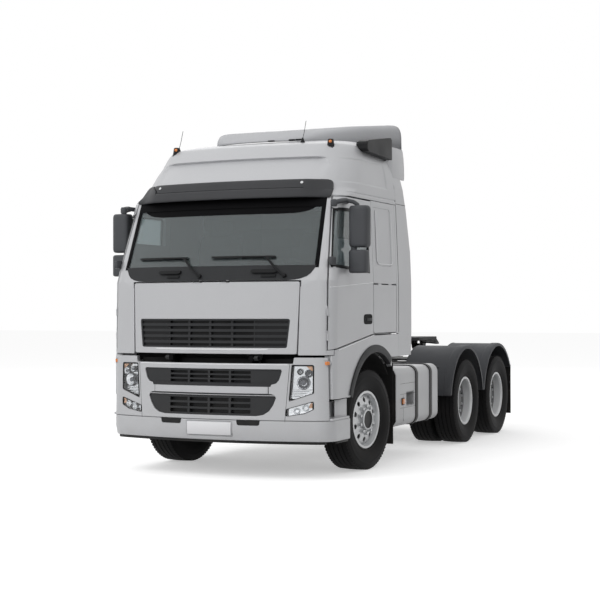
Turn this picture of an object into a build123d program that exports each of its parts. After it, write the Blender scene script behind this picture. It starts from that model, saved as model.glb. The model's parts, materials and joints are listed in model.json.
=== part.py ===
from build123d import *
import os
from math import cos, radians, sin, sqrt

# Three-axle tractor unit, millimetres. x forward, y left, z up.
# Pieces are drawn with x measured from the front axle and moved to the truck's middle when written.

# Wheels and layout
front_overhang = 1350
wheelbase = 3200
bogie_spread = 1370
rear_overhang = 630
tyre_radius = 522
tyre_width = 298
bead_radius = 286
rim_half_width = 117
front_wheel_y = 1040
rear_outer_y = 1085
twin_spacing = 335
rest_steer = -6.0

# Running clearances
seat_gap = 0.3
shut_gap = 6.0
pin_gap = 0.3
hinge_radius = 5.5
hinge_pin_radius = 2.8
hinge_length = 70

# Frame
rail_height = 300
rail_flange = 90
rail_web = 10
rail_outer_y = 425
frame_top_z = 1000
rail_front_x = 1040

# Cab shell
cab_wall = 60
cab_half_width = 1245
cab_rear_x = -700
cab_bow = 4000
cab_corner = 180
roof_split_z = 2795
cab_bottom_z = 1222
floor_z = 1420
floor_thick = 60
bulkhead_x = 1100
glass_thick = 10
glass_set_in = 8
fairing_thick = 30
fairing_rear_x = -1110

# Bumper
bumper_half_width = 1238
bumper_bow = 4000
bumper_corner = 200
bumper_wall = 60
bumper_top_z = 1140
bumper_horn_z = 1200
skirt_top_z = 585
skirt_bottom_z = 385
bumper_end_x = 1112
skirt_end_x = 670

# Cab pivot, ahead of the frame and above the bumper
pivot_x = 1270
pivot_z = 1192
pivot_pin_radius = 15

# Steering
kingpin_y = 890
kingpin_radius = 25
steer_arm = 220
stub_radius = 45

# Fifth wheel
fifth_x = -3930
fifth_top_z = 1300
fifth_length = 900
fifth_width = 880
plate_thick = 45
jaw_radius = 25.5
rock_z = 1175
rock_pin_radius = 20

drive_x = [-wheelbase, -wheelbase - bogie_spread]
tail_x = -wheelbase - bogie_spread - rear_overhang
middle_x = (front_overhang + tail_x) / 2
rail_bottom_z = frame_top_z - rail_height
rail_inner_y = rail_outer_y - rail_flange
rear_inner_y = rear_outer_y - twin_spacing

# Cab plan sections from the sills to the roof: height, front at the middle, half width
cab_sections = [
    (795, 1338, cab_half_width),
    (1950, 1305, cab_half_width),
    (2100, 1248, 1240),
    (2760, 980, 1214),
    (2980, 850, 1196),
    (3220, 645, 1150),
    (3360, 500, 1085),
    (3430, 360, 990),
]

# Bumper plan sections: height, front at the middle
bumper_sections = [
    (skirt_bottom_z, 1322),
    (skirt_bottom_z + 95, front_overhang),
    (skirt_top_z, 1348),
    (bumper_horn_z, 1332),
]


def block(x0, x1, y0, y1, z0, z1):
    return Pos((x0 + x1) / 2, (y0 + y1) / 2, (z0 + z1) / 2) * Box(x1 - x0, y1 - y0, z1 - z0)


def outline(points, radius, margin=0):
    if radius:
        face = make_face(FilletPolyline(*points, radius=radius, close=True))
    else:
        face = make_face(Polyline(*points, close=True))
    if margin:
        face = offset(face, amount=margin, kind=Kind.INTERSECTION)
    return face


def side_prism(points, y0, y1, radius=0, margin=0):
    plane = Plane((0, y0, 0), x_dir=(1, 0, 0), z_dir=(0, -1, 0))
    return extrude(plane * outline(points, radius, margin), amount=y1 - y0, dir=(0, 1, 0))


def front_prism(points, x0, x1, radius=0, margin=0):
    plane = Plane((x0, 0, 0), x_dir=(0, 1, 0), z_dir=(1, 0, 0))
    return extrude(plane * outline(points, radius, margin), amount=x1 - x0, dir=(1, 0, 0))


def plan_prism(points, z0, z1, radius=0):
    return extrude(Pos(0, 0, z0) * outline(points, radius), amount=z1 - z0, dir=(0, 0, 1))


def rod(start, end, radius):
    axis = Vector(end) - Vector(start)
    return extrude(Plane(start, z_dir=axis) * Circle(radius), amount=axis.length)


def across(x, z, radius, y0, y1):
    return rod((x, y0, z), (x, y1, z), radius)


def upright(x, y, radius, z0, z1):
    return rod((x, y, z0), (x, y, z1), radius)


def other_side(shape):
    return mirror(shape, Plane.XZ)


def both_sides(shape):
    return group(shape, other_side(shape))


def group(*shapes):
    return Compound([solid for shape in shapes for solid in shape.solids()])


def plan_section(z, x_front, half_width, x_rear, bow, corner):
    sag = bow - sqrt(bow**2 - half_width**2)
    x_side = x_front - sag
    front = ThreePointArc((x_side, -half_width), (x_front, 0), (x_side, half_width))
    rest = Polyline((x_side, half_width), (x_rear, half_width), (x_rear, -half_width), (x_side, -half_width))
    face = make_face([*front.edges(), *rest.edges()])
    tips = face.vertices().sort_by(Axis.X)[-2:]
    return Pos(0, 0, z) * fillet(tips, corner)


def cab_body(inset, x_rear):
    faces = []
    for row, (z, x_front, half) in enumerate(cab_sections):
        top = inset if row == len(cab_sections) - 1 else 0
        corner = cab_corner - inset
        faces.append(plan_section(z - top, x_front - inset, half - inset, x_rear, cab_bow, corner))
    return loft(faces, ruled=True)


def bumper_body(inset, rows, x_rear):
    faces = []
    for z, x_front in rows:
        half = bumper_half_width - inset
        faces.append(plan_section(z, x_front - inset, half, x_rear, bumper_bow, bumper_corner - inset))
    return loft(faces, ruled=True)


# Cab outlines seen from the side: x, z
door_rear_x = 45
door_top_z = 2785
door_side = [(door_rear_x, 1409), (110, 1406), (1300, 1250), (1300, door_top_z), (door_rear_x, door_top_z)]
window_side = [(150, 2045), (1300, 2095), (1300, 2665), (150, 2665)]
sleeper_press = [(15, 2120), (15, 2730), (-510, 2730), (-510, 2120)]
upper_press = [(480, 2925), (405, 3195), (-330, 3195), (-330, 2925)]
seam_groove = (2836, 2850)
press_depth = 7
brow_depth = 30
plate_recess = 6
locker_top_z = 1924
locker_outline = [(35, 1420), (35, locker_top_z), (-630, locker_top_z), (-630, 1420)]
locker_hinge = [(-150, 1241, locker_top_z + shut_gap), (-450, 1241, locker_top_z + shut_gap)]
below_sill = [
    (1090, 500),
    (1090, 1216),
    (1050, 1216),
    (1050, 1270),
    (110, 1394),
    (cab_rear_x, 1400),
    (cab_rear_x, 500),
]

# Cab outlines seen from the front: y, z
door_front = [(1185, 1200), (1185, 1960), (1105, 2800), (1400, 2800), (1400, 1200)]
door_hinge = [(1122, 1185, 1400), (1122, 1185, 1640)]
window_front = [(1212, 1960), (1135, 2700), (1400, 2700), (1400, 1960)]
windscreen_outline = [(-1062, 2085), (1062, 2085), (1036, 2745), (-1036, 2745)]
brow_outline = [(-950, 2900), (950, 2900), (893, 3222), (-893, 3222)]
lid_bottom_z = 1232
lid_top_z = 1938
lid_hinge = [(1302, -150, lid_top_z + shut_gap), (1302, 150, lid_top_z + shut_gap)]
lid_outline = [(-905, lid_bottom_z), (905, lid_bottom_z), (930, lid_top_z), (-930, lid_top_z)]
upper_grille_outline = [(-809, 1292), (809, 1292), (839, 1575), (-839, 1575)]

outer = cab_body(0, cab_rear_x)
inner = cab_body(cab_wall, cab_rear_x + cab_wall)
shell = outer - inner
side_shell = outer - cab_body(cab_wall, cab_rear_x - 100)
press_skin = outer - cab_body(press_depth, cab_rear_x - 100)
glass_skin = cab_body(glass_set_in, cab_rear_x) - cab_body(glass_set_in + glass_thick, cab_rear_x - 100)


def hinge_barrel(centre, axis):
    start = Vector(centre) - Vector(axis) * hinge_length / 2
    end = Vector(centre) + Vector(axis) * hinge_length / 2
    return rod(start, end, hinge_radius), rod(start, end, hinge_pin_radius + pin_gap)


def hinge_pin(centre, axis):
    reach = hinge_length / 2 + 1
    start = Vector(centre) + Vector(axis) * reach
    end = start + Vector(axis) * 25
    pin = rod(Vector(centre) - Vector(axis) * reach, end, hinge_pin_radius)
    return pin + rod(start, end, hinge_radius)


def door_region(margin, side_radius):
    side = side_prism(door_side, 900, 2000, side_radius, margin)
    return side & front_prism(door_front, 0, 2000, 0, margin)


def window_region(margin):
    return side_prism(window_side, 900, 2000, 30, margin) & front_prism(window_front, 0, 2000, 20, margin)


def cab_floor():
    plate = inner & block(-2000, bulkhead_x - 40 - seat_gap, -2000, 2000, floor_z, floor_z + floor_thick)
    wall_y = cab_half_width - cab_wall
    side_room = block(-2000, 2000, wall_y - shut_gap, 2000, 0, 4000)
    corner_room = block(980, 2000, 1060, 2000, 0, 4000)
    for room in (side_room, corner_room):
        plate -= room
        plate -= other_side(room)
    rear_x = cab_rear_x + cab_wall
    flange = block(rear_x, 0, wall_y - 60, wall_y - shut_gap, 1310, floor_z)
    flange += block(rear_x, 0, wall_y - 60, wall_y - seat_gap, 1310, 1402)
    return plate + flange + other_side(flange)


def pivot_arms():
    line = [
        (bulkhead_x - 40, floor_z - seat_gap),
        (1180, 1175),
        (pivot_x, pivot_z - 24),
        (pivot_x + 24, pivot_z),
        (pivot_x, pivot_z + 22),
        (1200, 1214),
        (bulkhead_x + 40, floor_z),
        (bulkhead_x + 40, floor_z + 80),
        (bulkhead_x, floor_z + 80),
        (bulkhead_x, floor_z - seat_gap),
    ]
    arm = side_prism(line, rail_outer_y + 50, rail_outer_y + 90)
    arm -= across(pivot_x, pivot_z, pivot_pin_radius, 0, 2000)
    return both_sides(arm)


def cab_sides():
    rear_x = cab_rear_x + cab_wall + seat_gap
    side = shell & block(rear_x, door_rear_x - shut_gap, 600, 2000, 1408, roof_split_z)
    side -= side_prism(locker_outline, 1000, 2000, 24, shut_gap)
    side -= press_skin & side_prism(sleeper_press, 900, 2000, 45)
    side -= block(-630, 35, 1000, 2000, locker_top_z - 50, locker_top_z + 2 * shut_gap)
    for x, y, z in locker_hinge:
        side += hinge_pin((x, y, z), (1, 0, 0))
        side += block(x + hinge_length / 2 + 1, x + hinge_length / 2 + 26, y - 5, y + 4, z, z + 10)
    return both_sides(side)


def locker_lid():
    lid = shell & side_prism(locker_outline, 1000, 2000, 24)
    half = hinge_length / 2
    for x, y, z in locker_hinge:
        barrel, bore = hinge_barrel((x, y, z), (1, 0, 0))
        lid += barrel + block(x - half, x + half, y - 5, y + 4, z - 12, z)
        lid -= bore
    return lid


def cab_back():
    return shell & block(-2000, cab_rear_x + cab_wall, -2000, 2000, 1408, roof_split_z)


def cab_roof():
    roof = shell & block(-2000, 2000, -2000, 2000, roof_split_z + 0.5, 5000)
    brow = outer - cab_body(brow_depth, cab_rear_x - 100)
    roof -= brow & front_prism(brow_outline, 300, 2000, 40)
    press = press_skin & (side_prism(upper_press, 900, 2000, 50) + block(-2000, 600, 900, 2000, *seam_groove))
    return roof - press - other_side(press)


def cab_front():
    front = side_shell & block(400, 2000, -2000, 2000, cab_bottom_z, roof_split_z)
    door_cut = door_region(shut_gap, 12)
    behind = block(-2000, 1060, 900, 2000, 0, 2020) + block(-2000, 760, 900, 2000, 2000, 5000)
    for cut in (door_cut, behind):
        front -= cut
        front -= other_side(cut)
    front -= front_prism(windscreen_outline, 500, 2000, 40)
    lid_room = [(-905, 900), (905, 900), (930, lid_top_z), (-930, lid_top_z)]
    hinge_room = [(-930, 1900), (930, 1900), (930, lid_top_z), (-930, lid_top_z)]
    front -= front_prism(lid_room, 1115, 2000, 0, shut_gap)
    front -= front_prism(hinge_room, 1115, 2000, 0, 2 * shut_gap)
    header = [(-1150, floor_z), (1150, floor_z), (1150, 1975), (-1150, 1975)]
    front += front_prism(header, bulkhead_x - 40, bulkhead_x - seat_gap) & cab_body(cab_wall - 25, cab_rear_x)
    end = hinge_length / 2 + 1
    for x, y, z in lid_hinge:
        front += hinge_pin((x, y, z), (0, 1, 0))
        front += block(x - 5, x + 4, y + end, y + end + 25, z, z + 12)
    for x, y, z in door_hinge:
        lug = hinge_pin((x, y, z), (0, 0, 1))
        lug += block(x - 24, x, y - 12, y - 1, z + end, z + end + 25)
        front += lug + other_side(lug)
    return front


def windscreen():
    return glass_skin & front_prism(windscreen_outline, 500, 2000, 40, -0.5)


def front_lid():
    lid = side_shell & front_prism(lid_outline, 1115, 2000, 20)
    lid -= front_prism(upper_grille_outline, 1000, 2000, 20)
    half = hinge_length / 2
    for x, y, z in lid_hinge:
        barrel, bore = hinge_barrel((x, y, z), (0, 1, 0))
        lid += barrel + block(x - 5, x + 4, y - half, y + half, z - 14, z)
        lid -= bore
    return lid


def upper_grille():
    bars = cab_body(15, cab_rear_x) - cab_body(45, cab_rear_x - 100)
    bars &= front_prism(upper_grille_outline, 1000, 2000, 20, -0.5)
    for row in range(4):
        z0 = 1325 + row * 60
        bars -= block(1000, 2000, -560, 560, z0, z0 + 30)
    return bars


def door():
    leaf = (side_shell & door_region(0, 12)) - window_region(0)
    leaf &= front_prism(door_front, 0, 2000, 0, -shut_gap)
    half = hinge_length / 2
    for x, y, z in door_hinge:
        barrel, bore = hinge_barrel((x, y, z), (0, 0, 1))
        leaf += barrel + block(x - 24, x, y + 1, y + 12, z - half, z + half)
        leaf -= bore
    return leaf


def door_glass():
    return glass_skin & window_region(-0.5)


def cab_fenders():
    low = side_prism(below_sill, 600, 2000)
    arch = across(0, tyre_radius, 700, 500, 2000)
    fender = (side_shell & low) - arch
    fender -= block(-2000, -400, 500, 2000, 0, 1160)
    fender -= block(-650, 660, 500, 2000, 0, 800)
    lip_ring = across(0, tyre_radius, 775, 1200, 1257) - across(0, tyre_radius, 700, 1100, 1300)
    lip_ring -= block(-2000, -455, 500, 2000, 0, 5000)
    lip_ring -= block(-2000, 2000, 500, 2000, -2000, 805)
    return both_sides(fender + lip_ring)


def sun_visor():
    span = [(-1117, 2790), (1117, 2790), (1057, 2968), (-1057, 2968)]
    skin = cab_body(-85, cab_rear_x) - cab_body(-60, cab_rear_x - 100)
    visor = skin & front_prism(span, 600, 2000, 25)
    standoff = cab_body(-62, cab_rear_x) - cab_body(-seat_gap, cab_rear_x - 100)
    for side in (-1, 1):
        visor += standoff & block(500, 2000, side * 810 - 30, side * 810 + 30, 2850, 2950)
    return visor


def side_fairings():
    skin = cab_body(0, fairing_rear_x - 200) - cab_body(fairing_thick, fairing_rear_x - 400)
    span = [
        (cab_rear_x - seat_gap, 1160),
        (-1090, 1160),
        (fairing_rear_x, 1420),
        (fairing_rear_x, 2300),
        (-1010, 2820),
        (-935, 3200),
        (-910, 3330),
        (cab_rear_x - seat_gap, 3330),
    ]
    return both_sides(skin & side_prism(span, 900, 2000))


# Roof deflector sections from front to rear: x, half width, top height
deflector_sections = [
    (260, 930, 3468),
    (-150, 1000, 3580),
    (-600, 1050, 3670),
    (-1040, 1060, 3722),
]
deflector_hollow = [(120, 950, 3505)] + [(x - 4, half, top) for x, half, top in deflector_sections[1:]]
deflector_wall = 30
deflector_bottom_z = 3430 + seat_gap


def deflector_section(x, half, top, inset, bottom):
    shoulder = min(120, (top - bottom) * 0.45)
    low = half - inset
    high = low - 40
    points = [(-low, bottom), (low, bottom), (high, top - inset), (-high, top - inset)]
    line = FilletPolyline(*points, radius=[1, 1, shoulder, shoulder], close=True)
    return Plane((x, 0, 0), x_dir=(0, 1, 0), z_dir=(1, 0, 0)) * make_face(line)


def roof_deflector():
    faces = [deflector_section(x, half, top, 0, deflector_bottom_z) for x, half, top in deflector_sections]
    low = deflector_bottom_z - 20
    hollow = [deflector_section(x, half, top, deflector_wall, low) for x, half, top in deflector_hollow]
    return loft(faces, ruled=True) - loft(hollow, ruled=True)


def air_intake():
    lower = [(90, 3330), (50, 3308), (-640, 3280)]
    upper = [(-640, 3500), (-600, 3520), (10, 3432), (70, 3410), (90, 3385)]
    return side_prism(lower + upper, 1072, 1200, 10) - cab_body(-seat_gap, cab_rear_x - 100)


def dash_prism(margin):
    span = [(700, 1500), (1060 - seat_gap, 1500), (1060 - seat_gap, 2010), (820, 2040), (700, 1960)]
    return side_prism(span, -1080, 1080, 30, margin)


def dashboard():
    return dash_prism(0)


def steering_wheel():
    ring = Torus(225, 16)
    spokes = Cylinder(60, 30) + Box(430, 40, 20) + Pos(0, -105, 0) * Box(40, 210, 20)
    column = Pos(0, 0, -185) * Cylinder(28, 345)
    wheel = ring + spokes + column
    return Pos(640, 590, 2060) * Rot(0, -28, 0) * wheel - dash_prism(seat_gap)


def seats():
    base = block(-60, 420, 360, 860, floor_z + floor_thick + seat_gap, 1720)
    cushion = side_prism([(-80, 1720), (460, 1720), (460, 1870), (-80, 1850)], 340, 880, 40)
    back = side_prism([(-80, 1820), (60, 1820), (-60, 2480), (-180, 2480)], 340, 880, 40)
    rest = side_prism([(-75, 2470), (-165, 2470), (-195, 2640), (-105, 2640)], 470, 750, 30)
    seat = base + cushion + back + rest
    bunk = block(-630, -240, -1150, 1150, floor_z + floor_thick + seat_gap, 1900)
    return group(seat, other_side(seat), bunk)


def mirror_arm():
    head = block(650, 790, 1262, 1467, 2275, 2690)
    head = fillet(head.edges(), 45)
    small = block(680, 800, 1262, 1460, 2022, 2250)
    small = fillet(small.edges(), 40)
    stem = upright(735, 1300, 22, 2200, 2300)
    upper = rod((770, 1215, 2720), (700, 1330, 2660), 24)
    foot = block(735, 805, 1200 + 8, 1225, 2690, 2750)
    lower = rod((900, 1246, 2145), (770, 1300, 2150), 24)
    pad = block(860, 940, 1238, 1252, 2110, 2180)
    return head + small + stem + upper + foot + lower + pad - cab_body(-seat_gap, cab_rear_x)


def frame_rails():
    web_inner = rail_outer_y - rail_web
    rail = block(tail_x + 60, rail_front_x, rail_inner_y, rail_outer_y, rail_bottom_z, frame_top_z)
    rail -= block(-9000, 9000, 0, web_inner, rail_bottom_z + rail_web, frame_top_z - rail_web)
    return both_sides(rail)


# Crossmembers: x, height of the middle
crossmembers = [(-1330, 900), (-2350, 850), (-3885, 850), (tail_x + 120, 850)]


def frame_crossmembers():
    inside_y = rail_outer_y - rail_web
    beams = []
    for x, z in crossmembers:
        beam = block(x - 60, x + 60, -inside_y, inside_y, z - 80, z + 80)
        beam -= block(x - 50, x + 200, -inside_y + 60, inside_y - 60, z - 68, z + 68)
        beams.append(beam)
    front = block(900, 1000, -inside_y, inside_y, rail_bottom_z + rail_web, rail_bottom_z + 120)
    beams.append(front)
    return group(*beams)


def engine():
    feet_y = rail_outer_y - rail_web - seat_gap
    body = block(-350, 800, -290, 290, 700, 1300)
    sump = block(-150, 700, -200, 200, 560, 700)
    gearbox = block(-1230, -350, -230, 230, 640, 1000)
    feet = block(100, 240, -feet_y, feet_y, 900, 985)
    rear_feet = block(-900, -800, -feet_y, feet_y, 900, 985)
    return body + sump + gearbox + feet + rear_feet


def cooling_pack():
    half = rail_inner_y - seat_gap
    return block(840, 890, -half, half, 830, 1200)


def front_axle():
    half = [(0, 330), (560, 330), (700, 400), (850, 430), (850, 600), (700, 520), (560, 450), (0, 450)]
    beam = front_prism(half, -50, 50)
    beam += other_side(beam)
    for side in (-1, 1):
        beam += upright(0, side * kingpin_y, 55, 430, 615)
    for side in (-1, 1):
        beam -= upright(0, side * kingpin_y, kingpin_radius + pin_gap, 0, 1000)
        beam += block(-110, 110, side * 380 - 50, side * 380 + 50, 440, 560)
    return beam


def knuckle():
    lugs = upright(0, kingpin_y, 52, 618, 680) + upright(0, kingpin_y, 52, 360, 427)
    pin = upright(0, kingpin_y, kingpin_radius, 400, 640)
    web = block(-48, 48, kingpin_y + 20, kingpin_y + 90, 360, 427)
    web += block(-48, 48, kingpin_y + 20, kingpin_y + 90, 618, 680)
    web += block(-48, 48, kingpin_y + 62, kingpin_y + 90, 360, 680)
    stub = across(0, tyre_radius, stub_radius, kingpin_y + 80, front_wheel_y + 110)
    arm = block(-steer_arm, 0, kingpin_y - 32, kingpin_y + 32, 364, 396)
    arm += upright(-steer_arm, kingpin_y, 32, 364, 396)
    stud = upright(-steer_arm, kingpin_y, 14, 300, 370)
    return lugs + pin + web + stub + arm + stud


def steered(shape, side):
    return Pos(0, side * kingpin_y, 0) * Rot(0, 0, rest_steer) * Pos(0, -side * kingpin_y, 0) * shape


def tie_rod():
    eye = upright(-steer_arm, kingpin_y, 30, 312, 358)
    bar = across(-steer_arm, 335, 20, 0, kingpin_y)
    half = (eye + bar) - upright(-steer_arm, kingpin_y, 14 + pin_gap, 0, 1000)
    track_bar = half + other_side(half)
    turn = radians(rest_steer)
    start = Vector(-steer_arm, 0, 0)
    end = Vector(-steer_arm * cos(turn), -steer_arm * sin(turn), 0)
    return Pos(end - start) * track_bar


def tyre():
    half = tyre_width / 2
    side_r = (bead_radius + tyre_radius) / 2
    bead_half = rim_half_width - 12 - seat_gap
    profile = [
        (-bead_half, bead_radius),
        (bead_half, bead_radius),
        (bead_half, bead_radius + 14),
        (half, side_r),
        (half - 8, tyre_radius - 40),
        (half - 30, tyre_radius - 6),
        (0, tyre_radius),
        (-half + 30, tyre_radius - 6),
        (-half + 8, tyre_radius - 40),
        (-half, side_r),
        (-bead_half, bead_radius + 14),
    ]
    face = Plane.YZ * make_face(Polyline(*profile, close=True))
    return revolve(face, Axis.Y)


# Rim barrel half profile: y from the rim's middle, radius
barrel_profile = [
    (-rim_half_width, bead_radius - 12),
    (-rim_half_width, bead_radius + 12),
    (-rim_half_width + 12, bead_radius + 12),
    (-rim_half_width + 12, bead_radius - seat_gap),
    (rim_half_width - 12, bead_radius - seat_gap),
    (rim_half_width - 12, bead_radius + 12),
    (rim_half_width, bead_radius + 12),
    (rim_half_width, bead_radius - 12),
    (rim_half_width - 30, bead_radius - 22),
    (-rim_half_width + 30, bead_radius - 22),
]


def ring(profile):
    return revolve(Plane.YZ * make_face(Polyline(*profile, close=True)), Axis.Y)


def hand_holes(count, at_radius, hole_radius, y0, y1):
    holes = across(0, at_radius, hole_radius, y0, y1)
    pattern = [Rot(0, 360 * turn / count, 0) * holes for turn in range(count)]
    return group(*pattern)


def front_rim():
    bore = stub_radius + pin_gap
    disc = [(60, 264), (84, 230), (100, 160), (100, bore), (88, bore), (88, 160), (72, 226), (48, 264)]
    hub = [(-40, bore), (128, bore), (128, 90), (100, 110), (60, 120), (-40, 120)]
    rim = ring(barrel_profile) + ring(disc) + ring(hub)
    rim += Pos(0, 122, 0) * Rot(90, 0, 0) * Cylinder(60, 12)
    return rim - hand_holes(10, 205, 26, 40, 140)


def rear_rims():
    spread = twin_spacing / 2
    outer_rim = Pos(0, spread, 0) * ring(barrel_profile)
    inner_rim = Pos(0, -spread, 0) * ring(barrel_profile)
    dish = [(86, 264), (40, 244), (14, 200), (14, 51), (0, 51), (0, 204), (28, 250), (74, 264)]
    disc = ring(dish)
    inner_disc = ring([(-y, r) for y, r in dish])
    hub = ring([(-190, 51), (150, 51), (150, 95), (40, 130), (-60, 150), (-60, 215), (-190, 215)])
    cap = Pos(0, 144, 0) * Rot(90, 0, 0) * Cylinder(60, 12)
    rims = outer_rim + inner_rim + disc + inner_disc + hub + cap
    return rims - hand_holes(10, 222, 22, -60, 60)


def front_wheel(shape, side):
    placed = shape if side > 0 else Rot(0, 0, 180) * shape
    return steered(Pos(0, side * front_wheel_y, tyre_radius) * placed, side)


def rear_wheel(shape, x, side):
    placed = shape if side > 0 else Rot(0, 0, 180) * shape
    return Pos(x, side * (rear_outer_y + rear_inner_y) / 2, tyre_radius) * placed


def twin_tyres():
    spread = twin_spacing / 2
    return group(Pos(0, spread, 0) * tyre(), Pos(0, -spread, 0) * tyre())


def rear_axles():
    middle_y = (rear_outer_y + rear_inner_y) / 2
    axles = []
    for x in drive_x:
        axle = across(x, tyre_radius, 75, -720, 720)
        axle += across(x, tyre_radius, 50, -middle_y - 130, middle_y + 130)
        axle += Pos(x, 0, tyre_radius) * Sphere(215)
        axle += rod((x, 0, tyre_radius), (x + 330, 0, tyre_radius), 110)
        axles.append(axle)
    return group(*axles)


def leaf_springs():
    springs = []
    bottom = [(-760, 640), (-350, 585), (0, 560 + seat_gap), (350, 585), (760, 640)]
    top = [(760, 680), (350, 640), (0, 625), (-350, 640), (-760, 680)]
    leaf = side_prism(bottom + top, rail_inner_y, rail_outer_y)
    leaf += block(-780, -720, rail_inner_y, rail_outer_y, 640, rail_bottom_z)
    leaf += block(720, 780, rail_inner_y, rail_outer_y, 640, rail_bottom_z)
    springs += [leaf, other_side(leaf)]
    middle = sum(drive_x) / 2
    half = bogie_spread / 2
    seat = tyre_radius + 75 + seat_gap
    pack = side_prism(
        [
            (middle - half - 60, seat),
            (middle + half + 60, seat),
            (middle + half + 60, seat + 40),
            (middle + 150, seat + 140),
            (middle - 150, seat + 140),
            (middle - half - 60, seat + 40),
        ],
        450,
        540,
    )
    pack += block(middle - 150, middle + 150, rail_outer_y + seat_gap, 540, seat + 60, seat + 300)
    springs += [pack, other_side(pack)]
    return group(*springs)


def propshafts():
    front = rod((-1150, 0, 770), (drive_x[0] + 200, 0, tyre_radius), 55)
    front &= block(drive_x[0] + 330 + seat_gap, -1230 - seat_gap, -500, 500, 0, 2000)
    rear = rod((drive_x[0] - 215.5, 0, tyre_radius), (drive_x[1] + 330.3, 0, tyre_radius), 45)
    return group(front, rear)


tank_x0 = -2060
tank_x1 = -665
tank_y0 = 610
tank_y1 = 1228
tank_z0 = 380
tank_z1 = 1030
strap_x = (-1310, -1790)


def tank_section(margin):
    return [
        (tank_y0 - margin, tank_z0 - margin),
        (tank_y1 + margin, tank_z0 - margin),
        (tank_y1 + margin, tank_z1 + margin),
        (tank_y0 - margin, tank_z1 + margin),
    ]


def fuel_tank():
    tank = front_prism(tank_section(0), tank_x0, tank_x1, 95)
    tank += upright(-950, 800, 50, tank_z1 - 10, tank_z1 + 45)
    return tank - block(-1240, -990, tank_y1 - 130, 2000, 600, 750)


def tank_straps():
    straps = []
    for x in strap_x:
        strap = front_prism(tank_section(10), x - 35, x + 35, 105)
        strap -= front_prism(tank_section(seat_gap), x - 100, x + 100, 95)
        strap += block(x - 35, x + 35, rail_outer_y + seat_gap, tank_y0 - 5, 720, 940)
        straps.append(strap)
    return group(*straps)


def silencer():
    can = front_prism([(-1200, 420), (-640, 420), (-640, 1000), (-1200, 1000)], -1700, -700, 120)
    can += block(-1600, -1500, -640 - 20, -rail_outer_y - seat_gap, 760, 900)
    can += block(-900, -800, -640 - 20, -rail_outer_y - seat_gap, 760, 900)
    pipe = rod((-1690, -900, 520), (-1880, -900, 520), 60)
    return can + pipe


guard_radius = 685
guard_thick = 12
guard_y0 = 590
guard_y1 = 1238


def mudguard(x, front_reach, rear_reach):
    arch = across(x, tyre_radius, guard_radius, guard_y0, guard_y1)
    arch -= across(x, tyre_radius, guard_radius - guard_thick, guard_y0 - 50, guard_y1 + 50)
    arch &= block(x - rear_reach, x + front_reach, 0, 2000, tyre_radius + 95, 3000)
    post = guard_radius - guard_thick / 2
    lift = 430
    reach = sqrt(post**2 - lift**2)
    for side in (-1, 1):
        arch += across(x + side * reach, tyre_radius + lift, 18, rail_outer_y + seat_gap, guard_y1 - 200)
    return arch


def rear_mudguards():
    front = mudguard(drive_x[0], 676, 676)
    rear = mudguard(drive_x[1], 676, 580)
    return group(front, rear, other_side(front), other_side(rear))


def mud_flaps():
    front = block(-645, -633, 640, 1200, 210, 1080)
    front += across(-639, 960, 16, rail_outer_y + seat_gap, 1000)
    rear_x = drive_x[1] - 580
    rear = block(rear_x - 12.5, rear_x - 0.5, guard_y0, guard_y1, 230, 900)
    return group(front, rear, other_side(front), other_side(rear))


# Bumper openings seen from the front: y, z
def grille_outline(half):
    return half + [(-y, z) for y, z in reversed(half)]


lower_grille_1 = grille_outline([(655, 935), (708, 948), (738, 982), (750, 1020), (769, 1084)])
lower_grille_2 = grille_outline([(515, 630), (585, 643), (640, 678), (680, 735), (715, 825)])
plate_outline = [(-248, 425), (262, 425), (262, 572), (-248, 572)]
headlamp_outline = [(836, 777), (1075, 855), (1075, 1128), (862, 1128)]
fog_outline = [(806, 632), (990, 660), (1075, 700), (1075, 778), (806, 700)]

lid_gap = [(-872, bumper_top_z), (872, bumper_top_z), (912, 1400), (-912, 1400)]

panel_rows = bumper_sections[2:]
skirt_rows = bumper_sections[:3]


def bumper_skin(rows, depth0, depth1):
    return bumper_body(depth0, rows, 0) - bumper_body(depth1, rows, -100)


def bumper_panels():
    panel = bumper_skin(panel_rows, 0, bumper_wall)
    panel &= block(bumper_end_x, 2000, -2000, 2000, skirt_top_z + 4, 2000)
    for hole in (lower_grille_1, lower_grille_2, headlamp_outline, fog_outline):
        panel -= front_prism(hole, 900, 2000, 18)
    for hole in (headlamp_outline, fog_outline):
        panel -= other_side(front_prism(hole, 900, 2000, 18))
    panel -= front_prism(lid_gap, 900, 2000)
    skirt = bumper_skin(skirt_rows, 0, bumper_wall) & block(skirt_end_x, 2000, -2000, 2000, 0, skirt_top_z)
    skirt -= bumper_skin(skirt_rows, 0, plate_recess) & front_prism(plate_outline, 900, 2000, 10)
    return group(panel, skirt)


def bumper_beam():
    beam = bumper_body(bumper_wall + seat_gap, panel_rows, 0) & block(1180, 2000, -800, 800, 845, 925)
    for side in (-1, 1):
        beam += block(rail_front_x + seat_gap, 1190, side * 380 - 45, side * 380 + 45, 720, 980)
    low = bumper_body(bumper_wall + seat_gap, bumper_sections[1:3], 0)
    low &= block(1180, 2000, -500, 500, 520, 575)
    for side in (-1, 1):
        low += block(1180, 1240, side * 380 - 45, side * 380 + 45, 560, 860)
    return beam + low


def lower_grilles():
    pieces = []
    for points, count in ((lower_grille_1, 3), (lower_grille_2, 3)):
        insert = bumper_skin(panel_rows, 12, 50) & front_prism(points, 900, 2000, 18, -0.5)
        low = points[0][1]
        pitch = (max(z for y, z in points) - low) / (count + 0.4)
        for row in range(count):
            z0 = low + pitch * (row + 0.35)
            for column in range(-2, 2):
                y0 = column * 230 + 12
                insert -= block(900, 2000, y0, y0 + 206, z0, z0 + pitch * 0.62)
        pieces.append(insert)
    return group(*pieces)


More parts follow.
